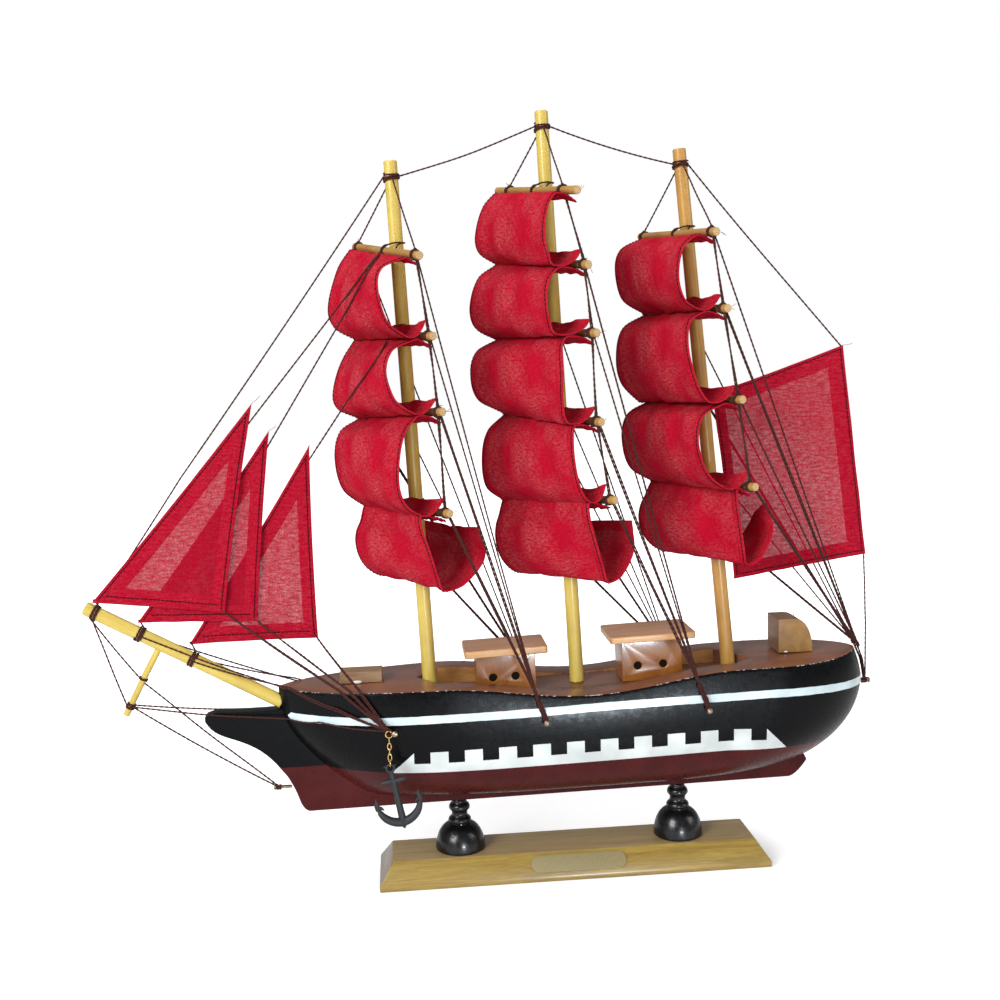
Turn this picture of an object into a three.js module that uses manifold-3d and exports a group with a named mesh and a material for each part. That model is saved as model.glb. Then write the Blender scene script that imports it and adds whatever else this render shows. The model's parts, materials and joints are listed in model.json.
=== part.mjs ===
// Desk model of a three-masted, square-rigged sailing ship, standing on a plinth with two turned posts.
// Millimetres. +X points aft (the bow is at -X), -Y is the port side, +Z is up.
// The origin is the centre of the plinth's flat underside.
import * as THREE from "three";
import { mergeVertices } from "three/addons/utils/BufferGeometryUtils.js";
import Module from "manifold-3d";

const wasm = await Module();
wasm.setup();

// ---------------------------------------------------------------- driving dimensions

const GAP = 0.3; // clearance between neighbouring pieces

const STAND = {
  length: 165,
  width: 34,
  height: 10.7,
  band: 2.4, // height of the square-edged band under the bevel
  inset: 5.6, // how far the bevel leans in on every side
  postFore: -48,
  postAft: 46.2,
};

const PLATE = { length: 40, width: 7, thickness: 0.6, centre: 0.6 };

const HULL = {
  bow: -121, // stem at deck level
  stern: 123.7, // taffrail at deck level
  counter: 126.9, // furthest point of the rounded counter
  beam: 52.6,
  bottom: 37.6, // underside amidships
  trim: 0.0134, // rise of the keel per millimetre aft
  bowEntry: 75, // length over which the bow fills out
  sternRun: 40, // length over which the stern closes in
  cheeks: 1.2, // least half-breadth, at the stem and at the counter
};

const SHEER = {
  atStem: 84.5,
  slope: 0.0175,
  waistDepth: 6.1, // how far the waist dips below the straight sheer
  waistCentre: 6,
  waistHalf: 62,
  poopStart: 90,
  poopRise: 0.9,
};

const WELL = { halfWidth: 13, fore: -66, aft: 77, floorAmidships: 80, floorSlope: 0.03 };

const KEEL_THICKNESS = 7;

const BOWSPRIT = { heel: -121.4, tip: -197, heelHeight: 78.8, tipHeight: 121.2, radius: 2.8 };

const YARD_RADIUS = 1.65;
const SAIL_THICKNESS = 0.8;
const SAIL_INSET = 4; // bare yard outside each side of a sail
const THREAD_RADIUS = 0.4;
const LASHING_WIRE = 0.5;

// Each mast: its axis at the foot and at the head, then its yards from the top down.
// A yard's brace is the angle that it is turned about the mast, port end aft, in degrees.
// Its cant is the rise of the starboard end per millimetre of yard.
const MASTS = {
  fore: {
    foot: [-58.5, 82.6],
    head: [-66.6, 296.2],
    belly: 16,
    scoop: { reach: 14, drop: 14, aft: 3.5 },
    yards: [
      { height: 260.8, half: 30.6, brace: 24.7, cant: 0.154 },
      { height: 226.5, half: 32.5, brace: 28.2, cant: 0.023 },
      { height: 195.4, half: 33.6, brace: 29.9, cant: -0.044 },
      { height: 156.9, half: 33.5, brace: 30, cant: -0.02 },
    ],
  },
  main: {
    foot: [3.7, 79.3],
    head: [-5.5, 314.8],
    belly: 12.5,
    scoop: { reach: 12, drop: 13.5, aft: 3 },
    yards: [
      { height: 283.4, half: 33, brace: 22, cant: 0.135 },
      { height: 254.4, half: 34.6, brace: 25, cant: 0.1 },
      { height: 225.5, half: 35.5, brace: 27, cant: 0.01 },
      { height: 192.4, half: 35.4, brace: 26.5, cant: 0.04 },
      { height: 158.4, half: 37.4, brace: 30.5, cant: -0.06 },
    ],
  },
  mizzen: {
    foot: [69, 83.7],
    head: [50.6, 299.2],
    belly: 14,
    scoop: { reach: 8, drop: 13, aft: 2.5 },
    yards: [
      { height: 265, half: 32.6, brace: 14.5, cant: 0.08 },
      { height: 234, half: 33.8, brace: 16, cant: 0.026 },
      { height: 197.6, half: 35.3, brace: 19, cant: -0.008 },
      { height: 162.5, half: 35.5, brace: 22, cant: -0.03 },
    ],
  },
};
const MAST_RADIUS = 3;
const MASTHEAD_RADIUS = 2.7;

// Belaying pins in the topsides: x, z and the side of the hull.
const PIN_SPOTS = {
  fore: [-76, 70.3],
  mid: [-13.1, 71.5],
  aft: [53.2, 72.8],
};
const PIN_REACH = { fore: 29.4, mid: 30, aft: 30 }; // distance of a pin's head from the centreline
const PIN_RADIUS = 0.65;
const STERN_PIN_HEIGHT = 74;
const STEM_PIN_HEIGHT = 41.6;

// ---------------------------------------------------------------- materials

const finish = (color, roughness, metalness = 0) =>
  new THREE.MeshStandardMaterial({ color, roughness, metalness });

const PAINT = {
  plinthWood: () => finish(0x8f7c3e, 0.55),
  plate: () => finish(0x8a7434, 0.4, 0.6),
  blackGloss: () => finish(0x0c0a0a, 0.25),
  hull: () => finish(0x101013, 0.3),
  keel: () => finish(0x2a1414, 0.35),
  houseWood: () => finish(0xa8682c, 0.45),
  roofWood: () => finish(0xb98d55, 0.5),
  deckWood: () => finish(0x7a5f45, 0.5),
  spar: () => finish(0xc9ab45, 0.5),
  yard: () => finish(0xb98c4a, 0.55),
  sailcloth: () => finish(0xb3142d, 0.9),
  thread: () => finish(0x3b2020, 0.85),
  brass: () => finish(0x7a5a35, 0.4, 0.8),
  gold: () => finish(0xc79a3c, 0.3, 0.9),
  castIron: () => finish(0x1d2430, 0.45, 0.5),
};

// ---------------------------------------------------------------- geometry helpers

const v3 = (x, y, z) => new THREE.Vector3(x, y, z);
const degrees = (angle) => (angle * Math.PI) / 180;
const lerp = THREE.MathUtils.lerp;

// A closed geometry as a manifold solid.
function solidOf(geometry) {
  const bare = geometry.clone();
  bare.deleteAttribute("normal");
  bare.deleteAttribute("uv");
  const merged = mergeVertices(bare, 1e-4);
  return new wasm.Manifold(
    new wasm.Mesh({
      numProp: 3,
      vertProperties: merged.attributes.position.array,
      triVerts: new Uint32Array(merged.index.array),
    }),
  );
}

// A manifold solid as a geometry.
function geometryOf(solid) {
  const mesh = solid.getMesh();
  const geometry = new THREE.BufferGeometry();
  geometry.setAttribute("position", new THREE.BufferAttribute(mesh.vertProperties, 3));
  geometry.setIndex(new THREE.BufferAttribute(mesh.triVerts, 1));
  geometry.computeVertexNormals();
  return geometry;
}

function join(geometries, tolerance = 0) {
  const whole = geometries.map(solidOf).reduce((all, next) => all.add(next));
  return geometryOf(tolerance > 0 ? whole.simplify(tolerance) : whole);
}

function cut(geometry, tools) {
  return geometryOf(tools.map(solidOf).reduce((left, tool) => left.subtract(tool), solidOf(geometry)));
}

// A box of unit cells bent into shape: place(a, b, c) maps each of its points, a, b and c from -1 to 1.
function bentBox(cells, place) {
  const geometry = new THREE.BoxGeometry(2, 2, 2, ...cells);
  const position = geometry.getAttribute("position");
  for (let i = 0; i < position.count; i += 1) {
    const spot = place(position.getX(i), position.getY(i), position.getZ(i));
    position.setXYZ(i, spot.x, spot.y, spot.z);
  }
  geometry.computeVertexNormals();
  return geometry;
}

// A solid turned about the Z axis from [radius, height] pairs.
function turned(profile, segments) {
  const points = profile.map(([radius, height]) => new THREE.Vector2(radius, height));
  return new THREE.LatheGeometry(points, segments).rotateX(Math.PI / 2);
}

// A round rod from one point to another.
function rod(from, to, radiusFrom, radiusTo = radiusFrom, segments = 6) {
  const along = to.clone().sub(from);
  const geometry = new THREE.CylinderGeometry(radiusTo, radiusFrom, along.length(), segments);
  geometry.translate(0, along.length() / 2, 0);
  geometry.applyQuaternion(new THREE.Quaternion().setFromUnitVectors(v3(0, 1, 0), along.normalize()));
  return geometry.translate(from.x, from.y, from.z);
}

// An outline drawn in the XZ plane, given its thickness along Y and centred on y = middle.
function slab(shape, thickness, middle = 0, curveSegments = 8) {
  const geometry = new THREE.ExtrudeGeometry(shape, {
    depth: thickness,
    bevelEnabled: false,
    curveSegments,
  });
  return geometry.rotateX(Math.PI / 2).translate(0, middle + thickness / 2, 0);
}

function polygon(points) {
  return new THREE.Shape(points.map(([x, y]) => new THREE.Vector2(x, y)));
}

function boxAt(low, high) {
  const size = high.map((value, i) => value - low[i]);
  const middle = high.map((value, i) => (value + low[i]) / 2);
  return new THREE.BoxGeometry(...size).translate(...middle);
}

// A ring of wire about a line through its centre.
function wireRing(centre, axis, radius, wire, around = 12, across = 5) {
  const geometry = new THREE.TorusGeometry(radius, wire, across, around);
  geometry.applyQuaternion(new THREE.Quaternion().setFromUnitVectors(v3(0, 0, 1), axis.clone().normalize()));
  return geometry.translate(centre.x, centre.y, centre.z);
}

const ship = new THREE.Group();

function add(name, geometry, material) {
  const mesh = new THREE.Mesh(geometry, material);
  mesh.name = name;
  ship.add(mesh);
  return mesh;
}

// ---------------------------------------------------------------- hull form

const keelLine = (x) => HULL.bottom + HULL.trim * x;

function sheerLine(x) {
  const offWaist = Math.abs(x - SHEER.waistCentre) / SHEER.waistHalf;
  const dip = offWaist < 1 ? Math.cos((offWaist * Math.PI) / 2) ** 2 : 0;
  const poop = Math.max(0, x - SHEER.poopStart) / 35;
  const straight = SHEER.atStem + SHEER.slope * (x - HULL.bow);
  return straight - SHEER.waistDepth * dip + SHEER.poopRise * poop ** 2;
}

// The stem stands upright above the beak and rakes aft below it. level runs from 0, keel, to 1, deck.
const stemAt = (level) => HULL.bow + 34 * Math.max(0, 1 - level / 0.8) ** 1.5;

function counterAt(level) {
  const tuck = HULL.counter - 84;
  const low = Math.min(1, level / 0.75);
  const high = Math.max(0, (level - 0.75) / 0.25);
  return 84 + tuck * (2 * low - low * low) ** 0.62 - (HULL.counter - HULL.stern) * high ** 1.5;
}

// Fullness of a waterline, 0 at its end and 1 once it is full.
function fullness(distance, length, power) {
  const u = THREE.MathUtils.clamp(distance / length, 0, 1);
  return (2 * u - u * u) ** power;
}

// Half-breadth of the hull at a station and level.
function halfBreadth(x, level) {
  const entry = fullness(x - stemAt(level), HULL.bowEntry, 0.62);
  const run = fullness(counterAt(level) - x, lerp(55, HULL.sternRun, level), 0.6);
  const bilge = Math.min(1, level / 0.5);
  const flat = lerp(0.2, 0.32, Math.min(entry, run));
  const round = flat + (1 - flat) * Math.sqrt(2 * bilge - bilge * bilge);
  const tumblehome = 1 - 0.065 * (Math.max(0, level - 0.6) / 0.4) ** 2;
  return Math.max(HULL.cheeks, (HULL.beam / 2) * entry * run * round * tumblehome);
}

const levelOf = (x, z) => (z - keelLine(x)) / (sheerLine(x) - keelLine(x));
const sideAt = (x, z) => halfBreadth(x, levelOf(x, z));

function hullForm() {
  return bentBox([30, 2, 9], (a, b, c) => {
    const level = ((c + 1) / 2) ** 1.25; // closer stations round the bilge
    const along = (1 - Math.cos((Math.PI * (a + 1)) / 2)) / 2;
    const x = lerp(stemAt(level), counterAt(level), along);
    return v3(x, b * halfBreadth(x, level), lerp(keelLine(x), sheerLine(x), level));
  });
}

const wellFloor = (x) => WELL.floorAmidships + WELL.floorSlope * x;

// The well routed into the deck: parallel sides, a pointed fore end and a skewed aft end.
function wellCutter() {
  const plan = polygon([
    [WELL.fore, 0],
    [WELL.fore + 9, -WELL.halfWidth],
    [WELL.aft - 8, -WELL.halfWidth],
    [WELL.aft, -6],
    [WELL.aft - 11, WELL.halfWidth],
    [WELL.fore + 9, WELL.halfWidth],
  ]);
  const prism = new THREE.ExtrudeGeometry(plan, { depth: 20, bevelEnabled: false });
  return prism.rotateY(-Math.atan(WELL.floorSlope)).translate(0, 0, WELL.floorAmidships);
}

// The keel, stem knee and beak are one plank. grow widens the part that is let into the hull.
function plankOutline(grow) {
  const shape = new THREE.Shape();
  shape.moveTo(-151.2, 74.2);
  shape.quadraticCurveTo(-151.6, 72, -150.9, 71.3);
  shape.bezierCurveTo(-147, 64.5, -141, 65.5, -131.7, 60);
  shape.bezierCurveTo(-125, 56, -121.5, 50, -119.2, 47.3);
  shape.quadraticCurveTo(-116, 42, -114.4, 36.6);
  shape.quadraticCurveTo(-113, 32.2, -110.5, 31.6);
  shape.lineTo(94.2, 34.2);
  shape.quadraticCurveTo(97.6, 34.6, 102.3, 41.4);
  shape.lineTo(101.2, 43.6 + grow);
  shape.lineTo(90, 45 + grow);
  shape.lineTo(80, 44 + grow);
  shape.lineTo(-80 + grow, 42.5 + grow);
  shape.lineTo(-94 + grow, 45.5 + grow);
  shape.lineTo(-105 + grow, 55);
  shape.lineTo(-112 + grow, 66);
  shape.lineTo(-114.5 + grow, 75.5 + grow);
  shape.lineTo(-121.5, 75.5 + grow);
  shape.quadraticCurveTo(-134, 74.9 + grow, -146.6, 75.7 + grow);
  return shape;
}

// ---------------------------------------------------------------- stand

function plinth() {
  const steps = [0, STAND.band, STAND.height];
  return bentBox([1, 1, 2], (a, b, c) => {
    const top = c > 0.5 ? STAND.inset : 0;
    return v3(
      a * (STAND.length / 2 - top),
      b * (STAND.width / 2 - top),
      steps[Math.round(c + 1)],
    );
  });
}

// A turned post: a broad dome, two beads and a neck that reaches the keel.
function standPost(x) {
  const height = keelUnderside(x) - STAND.height - GAP;
  const scale = height / 21.6;
  const dome = [0, 0.25, 0.5, 0.75, 1].map((t) => {
    const turn = (t * Math.PI) / 2;
    return [4.2 + 6.3 * Math.cos(turn), 11 * Math.sin(turn) * scale];
  });
  const beads = [
    [4.8, 12.3],
    [4.5, 13.4],
    [3.3, 15.4],
    [4.3, 17.6],
    [4.5, 18.4],
    [4, 19.4],
    [3.1, 20.2],
    [3.1, 21.6],
    [0, 21.6],
  ].map(([radius, rise]) => [radius, rise * scale]);
  return turned([[0, 0], ...dome, ...beads], 18).translate(x, 0, STAND.height + 0.02);
}

const keelUnderside = (x) => 31.6 + ((x + 110.5) * (34.2 - 31.6)) / (94.2 + 110.5);

function buildStand() {
  add("stand_base", plinth(), PAINT.plinthWood());
  add("stand_post_fore", standPost(STAND.postFore), PAINT.blackGloss());
  add("stand_post_aft", standPost(STAND.postAft), PAINT.blackGloss());
  const lean = Math.atan2(STAND.height - STAND.band, STAND.inset);
  const outline = new THREE.Shape();
  const straight = (PLATE.length - PLATE.width) / 2;
  outline.absarc(straight, 0, PLATE.width / 2, -Math.PI / 2, Math.PI / 2);
  outline.absarc(-straight, 0, PLATE.width / 2, Math.PI / 2, (3 * Math.PI) / 2);
  const blank = new THREE.ExtrudeGeometry(outline, {
    depth: PLATE.thickness,
    bevelEnabled: false,
    curveSegments: 8,
  });
  const plate = add("name_plate", blank.translate(0, 0, -PLATE.thickness / 2), PAINT.plate());
  const middle = (STAND.height + STAND.band) / 2;
  const outward = (PLATE.thickness + GAP) / 2;
  plate.rotation.x = lean;
  plate.position.set(
    PLATE.centre,
    -(STAND.width - STAND.inset) / 2 - outward * Math.sin(lean),
    middle + outward * Math.cos(lean),
  );
}

// ---------------------------------------------------------------- hull and deck furniture

function pinHole(x, side, z) {
  const inner = side * (sideAt(x, z) - 5);
  return rod(v3(x, inner, z), v3(x, side * 34, z), PIN_RADIUS + GAP, PIN_RADIUS + GAP, 8);
}

function buildHull() {
  const pinHoles = [-1, 1].flatMap((side) =>
    Object.values(PIN_SPOTS).map(([x, z]) => pinHole(x, side, z)),
  );
  const sternHole = rod(
    v3(HULL.counter - 6, 0, STERN_PIN_HEIGHT),
    v3(140, 0, STERN_PIN_HEIGHT),
    PIN_RADIUS + GAP,
    PIN_RADIUS + GAP,
    8,
  );
  const plankSlot = slab(plankOutline(GAP), KEEL_THICKNESS + 2 * GAP);
  const hull = cut(hullForm(), [wellCutter(), plankSlot, ...pinHoles, sternHole]);
  add("hull", hull, PAINT.hull());
  const stemHole = rod(
    v3(-111, 0, STEM_PIN_HEIGHT),
    v3(-130, 0, STEM_PIN_HEIGHT),
    PIN_RADIUS + GAP,
    PIN_RADIUS + GAP,
    8,
  );
  add("keel_board", cut(slab(plankOutline(0), KEEL_THICKNESS), [stemHole]), PAINT.keel());
}

// A deckhouse and its overhanging roof. Both follow the slope of the well's floor.
function buildDeckhouse(name, house, roof) {
  const middle = (house.fore + house.aft) / 2;
  const floor = wellFloor(middle);
  const box = boxAt([house.fore, -house.half, floor + GAP], [house.aft, house.half, house.top]);
  const portholes = [-1, 1].flatMap((side) =>
    house.portholes.map((x) =>
      rod(
        v3(x, side * (house.half - 1.2), house.portholeHeight),
        v3(x, side * (house.half + 2), house.portholeHeight),
        1.75,
        1.75,
        12,
      ),
    ),
  );
  const slope = Math.atan(roof.slope);
  add(name, tiltAbout(cut(box, portholes), middle, floor, slope), PAINT.houseWood());
  const lid = roundedSlab(roof.aft - roof.fore, 2 * roof.half, roof.thickness, roof.corner);
  lid.translate((roof.aft + roof.fore) / 2, 0, house.top + 0.1);
  add(`${name}_roof`, tiltAbout(lid, middle, floor, slope), PAINT.roofWood());
}

// Turns a geometry about a crosswise line so that its aft end rises.
function tiltAbout(geometry, x, z, angle) {
  return geometry.translate(-x, 0, -z).rotateY(-angle).translate(x, 0, z);
}

// A board with rounded plan corners, lying on z = 0.
function roundedSlab(length, width, thickness, corner) {
  const x = length / 2;
  const y = width / 2;
  const shape = new THREE.Shape();
  shape.moveTo(-x + corner, -y);
  shape.lineTo(x - corner, -y);
  shape.quadraticCurveTo(x, -y, x, -y + corner);
  shape.lineTo(x, y - corner);
  shape.quadraticCurveTo(x, y, x - corner, y);
  shape.lineTo(-x + corner, y);
  shape.quadraticCurveTo(-x, y, -x, y - corner);
  shape.lineTo(-x, -y + corner);
  shape.quadraticCurveTo(-x, -y, -x + corner, -y);
  return new THREE.ExtrudeGeometry(shape, {
    depth: thickness - 0.6,
    bevelThickness: 0.3,
    bevelSize: 0.3,
    bevelOffset: -0.3,
    bevelSegments: 1,
    curveSegments: 3,
  }).translate(0, 0, 0.3);
}

function buildDeckFurniture() {
  buildDeckhouse(
    "fore_deckhouse",
    { fore: -39, aft: -14.4, half: 8, top: 95, portholes: [-32.3, -22.9], portholeHeight: 85.8 },
    { fore: -43.6, aft: -9.2, half: 11.2, thickness: 3.1, corner: 1.2, slope: 0.03 },
  );
  buildDeckhouse(
    "aft_deckhouse",
    { fore: 21.9, aft: 47.4, half: 8, top: 98.6, portholes: [28.5, 39.3], portholeHeight: 87.8 },
    { fore: 16.7, aft: 52.6, half: 13.1, thickness: 2.8, corner: 1.6, slope: 0.03 },
  );
  const hatchDeck = sheerLine(-78);
  const hatch = boxAt([-95.5, -4.6, hatchDeck + 0.1], [-78.2, 5.4, 89.9]);
  add("foredeck_hatch", hatch, PAINT.deckWood());

  const hoodDeck = sheerLine(105) + 0.1;
  const hood = new THREE.Shape();
  hood.moveTo(90, hoodDeck);
  hood.lineTo(105, hoodDeck);
  hood.bezierCurveTo(105, hoodDeck + 7.5, 102.5, hoodDeck + 14.6, 96.8, hoodDeck + 14.6);
  hood.lineTo(90, hoodDeck + 14.6);
  add("companion_hood", slab(hood, 15, 3.8), PAINT.houseWood());
}

// ---------------------------------------------------------------- spars

function mastAt(mast, z) {
  const [footX, footZ] = mast.foot;
  const [headX, headZ] = mast.head;
  return v3(lerp(footX, headX, (z - footZ) / (headZ - footZ)), 0, z);
}

// The yard's centre, its port-to-starboard direction and the way its sail fills.
function yardFrame(mast, yard) {
  const brace = degrees(yard.brace);
  const forward = v3(-Math.cos(brace), -Math.sin(brace), 0);
  const standoff = MAST_RADIUS + YARD_RADIUS + GAP;
  return {
    centre: mastAt(mast, yard.height).addScaledVector(forward, standoff),
    starboard: v3(-Math.sin(brace), Math.cos(brace), yard.cant),
    forward,
    half: yard.half,
  };
}

const onYard = (frame, reach) => frame.centre.clone().addScaledVector(frame.starboard, reach);

function buildSpars() {
  for (const [name, mast] of Object.entries(MASTS)) {
    const foot = mastAt(mast, wellFloor(mast.foot[0]) + GAP);
    const head = mastAt(mast, mast.head[1]);
    add(`${name}mast`, rod(foot, head, MAST_RADIUS, MASTHEAD_RADIUS, 20), PAINT.spar());
    mast.yards.forEach((yard, i) => {
      const frame = yardFrame(mast, yard);
      const port = onYard(frame, -yard.half);
      const starboard = onYard(frame, yard.half);
      add(`${name}_yard_${i + 1}`, rod(port, starboard, YARD_RADIUS, YARD_RADIUS, 12), PAINT.yard());
    });
  }

  // The bowsprit's heel is sawn off upright where it meets the stem.
  const slope = (BOWSPRIT.tipHeight - BOWSPRIT.heelHeight) / (BOWSPRIT.heel - BOWSPRIT.tip);
  const inside = v3(BOWSPRIT.heel + 6, 0, BOWSPRIT.heelHeight - 6 * slope);
  const tip = v3(BOWSPRIT.tip, 0, BOWSPRIT.tipHeight);
  const saw = boxAt([BOWSPRIT.heel, -10, 60], [BOWSPRIT.heel + 30, 10, 110]);
  const sprit = cut(rod(inside, tip, BOWSPRIT.radius, BOWSPRIT.radius, 20), [saw]);
  add("bowsprit", sprit, PAINT.spar());
  add("martingale_boom", rod(v3(-169.4, 0, 101.7), v3(-182.7, 0, 77.1), 1.35, 1.25, 12), PAINT.yard());
}

// ---------------------------------------------------------------- square sails

const SAIL_CELLS = [2, 14, 1];

// A sheet of cloth from point(across, down), each running from 0 to 1, thickened evenly on both sides.
function sheet(point, cells, thickness) {
  const step = 1e-3;
  return bentBox(cells, (a, b, c) => {
    const across = (a + 1) / 2;
    const down = (b + 1) / 2;
    const sideways = point(across + step, down).sub(point(across - step, down));
    const downward = point(across, down + step).sub(point(across, down - step));
    const normal = sideways.cross(downward).normalize();
    return point(across, down).addScaledVector(normal, (c * thickness) / 2);
  });
}

const FOOTING = YARD_RADIUS + GAP + SAIL_THICKNESS / 2; // from a yard's axis to the cloth beside it

// A sail stretched between two yards fills forward as half an ellipse.
function filledSail(mast, upper, lower) {
  const top = yardFrame(mast, upper);
  const bottom = yardFrame(mast, lower);
  const forward = top.forward.clone().add(bottom.forward).normalize();
  const drop = upper.height - lower.height;
  return sheet((across, down) => {
    const side = 2 * across - 1;
    const head = onYard(top, side * (top.half - SAIL_INSET));
    const foot = onYard(bottom, side * (bottom.half - SAIL_INSET));
    const turn = down * Math.PI;
    const fall = FOOTING / drop + (1 - (2 * FOOTING) / drop) * ((1 - Math.cos(turn)) / 2);
    return head.lerp(foot, fall).addScaledVector(forward, (mast.belly + 1) * Math.sin(turn) - 1);
  }, SAIL_CELLS, SAIL_THICKNESS);
}

// The lowest sail of a mast hangs from its yard and curls under into a trough round the mast.
function scoopedSail(mast, yard) {
  const frame = yardFrame(mast, yard);
  const { reach, drop, aft } = mast.scoop;
  const start = Math.acos((drop + 1 - FOOTING) / drop);
  const end = degrees(300);
  const cloth = sheet((across, down) => {
    const port = SAIL_INSET + 2 * down - frame.half;
    const starboard = frame.half - SAIL_INSET - 9 * down;
    const head = onYard(frame, lerp(port, starboard, across));
    const turn = lerp(start, end, down);
    head.z -= drop + 1 - drop * Math.cos(turn);
    return head.addScaledVector(frame.forward, reach * Math.sin(turn) - aft);
  }, [2, 18, 1], SAIL_THICKNESS);
  const clearance = MAST_RADIUS + 0.7;
  const below = mastAt(mast, yard.height - 45);
  return cut(cloth, [rod(below, mastAt(mast, yard.height - 5), clearance, clearance, 14)]);
}

function buildSquareSails() {
  for (const [name, mast] of Object.entries(MASTS)) {
    mast.yards.forEach((yard, i) => {
      const lower = mast.yards[i + 1];
      const cloth = lower ? filledSail(mast, yard, lower) : scoopedSail(mast, yard);
      add(`${name}_sail_${i + 1}`, cloth, PAINT.sailcloth());
    });
  }
}

// ---------------------------------------------------------------- fore-and-aft sails

// Head, tack and clew of each jib in the XZ plane, and the plane's own y.
const JIBS = [
  { head: [-127, 201.5], tack: [-187.5, 125.6], clew: [-141, 117.1], y: -1.8 },
  { head: [-122.2, 190.4], tack: [-175.5, 114.8], clew: [-128.1, 112.5], y: 0 },
  { head: [-104.2, 183.7], tack: [-152.6, 106.2], clew: [-104, 104.1], y: 1.8 },
];

const SPANKER = { throat: [67.4, 201], peak: [120.3, 217.3], clew: [129.3, 129.6], tack: [72.8, 121.3] };

// A flat sail with gently hollowed edges through the given corners.
function flatSail(corners, hollow, y) {
  const middle = corners.reduce((sum, [x, z]) => [sum[0] + x / corners.length, sum[1] + z / corners.length], [0, 0]);
  const shape = new THREE.Shape();
  shape.moveTo(...corners[0]);
  corners.forEach(([x, z], i) => {
    const [nextX, nextZ] = corners[(i + 1) % corners.length];
    const bendX = lerp((x + nextX) / 2, middle[0], hollow);
    const bendZ = lerp((z + nextZ) / 2, middle[1], hollow);
    shape.quadraticCurveTo(bendX, bendZ, nextX, nextZ);
  });
  return slab(shape, SAIL_THICKNESS, y, 5);
}

function buildForeAndAftSails() {
  JIBS.forEach((jib, i) => {
    add(`jib_${i + 1}`, flatSail([jib.head, jib.tack, jib.clew], 0.06, jib.y), PAINT.sailcloth());
  });
  const corners = [SPANKER.throat, SPANKER.tack, SPANKER.clew, SPANKER.peak];
  add("spanker", flatSail(corners, 0.03, 0), PAINT.sailcloth());
}

// ---------------------------------------------------------------- pins, chain and anchor

// A headed pin along Z, its head at z = 0 and its shank below.
function pin(length) {
  return turned(
    [
      [0, -length],
      [PIN_RADIUS, -length],
      [PIN_RADIUS, -0.9],
      [1.2, -0.8],
      [1.2, -0.2],
      [0.8, 0],
      [0, 0],
    ],
    8,
  );
}

function buildPins() {
  for (const [spot, [x, z]] of Object.entries(PIN_SPOTS)) {
    const length = PIN_REACH[spot] - sideAt(x, z) + 4;
    const port = add(`port_${spot}_pin`, pin(length), PAINT.brass());
    port.position.set(x, -PIN_REACH[spot], z);
    port.rotation.x = Math.PI / 2;
    const starboard = add(`starboard_${spot}_pin`, pin(length), PAINT.brass());
    starboard.position.set(x, PIN_REACH[spot], z);
    starboard.rotation.x = -Math.PI / 2;
  }
  const stern = add("stern_pin", pin(10), PAINT.brass());
  stern.position.set(131.6, 0, STERN_PIN_HEIGHT);
  stern.rotation.y = Math.PI / 2;
  const stem = add("stem_pin", pin(12), PAINT.brass());
  stem.position.set(-125.2, 0, STEM_PIN_HEIGHT);
  stem.rotation.y = -Math.PI / 2;
}

const CHAIN = { wire: 0.25, half: 1.4, width: 0.7, y: -27.6, ring: 1.35, shackle: 1.6 };
const FUSED = 0.15; // overlap of the links inside one rigid length of chain
const SLACK = 0.25; // play between two lengths that turn on each other

// One oval link hanging with its centre at height z, seen face on or edge on from the side.
function link(x, z, faceOn) {
  const oval = new THREE.TorusGeometry(1, CHAIN.wire, 5, 12);
  const position = oval.getAttribute("position");
  const spot = v3(0, 0, 0);
  for (let i = 0; i < position.count; i += 1) {
    spot.fromBufferAttribute(position, i);
    const angle = Math.atan2(spot.y, spot.x);
    spot.x += (CHAIN.width - 1) * Math.cos(angle);
    spot.y += (CHAIN.half - 1) * Math.sin(angle);
    position.setXYZ(i, spot.x, spot.y, spot.z);
  }
  oval.rotateX(Math.PI / 2);
  if (!faceOn) oval.rotateZ(Math.PI / 2);
  return oval.translate(x, CHAIN.y, z);
}

function anchorForm() {
  const shank = new THREE.Shape();
  shank.moveTo(-0.9, -1.2);
  shank.lineTo(-1.15, -21);
  shank.lineTo(1.15, -21);
  shank.lineTo(0.9, -1.2);
  const stock = polygon([
    [-5.6, -5.8],
    [5.6, -5.8],
    [5.6, -4.3],
    [-5.6, -4.3],
  ]);
  const arms = new THREE.Shape();
  arms.moveTo(0, -24.3);
  arms.bezierCurveTo(5.2, -22.6, 8, -19.6, 8.8, -13.6);
  arms.lineTo(5, -16.4);
  arms.lineTo(6, -17);
  arms.quadraticCurveTo(4, -20.6, 0, -20.8);
  arms.quadraticCurveTo(-4, -20.6, -6, -17);
  arms.lineTo(-5, -16.4);
  arms.lineTo(-8.8, -13.6);
  arms.bezierCurveTo(-8, -19.6, -5.2, -22.6, 0, -24.3);
  const eye = wireRing(v3(0, 0, 0), v3(0, 1, 0), 1.5, 0.4, 14, 6);
  return join([slab(shank, 1.6), slab(stock, 1.4), slab(arms, 1.5), eye]);
}

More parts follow.
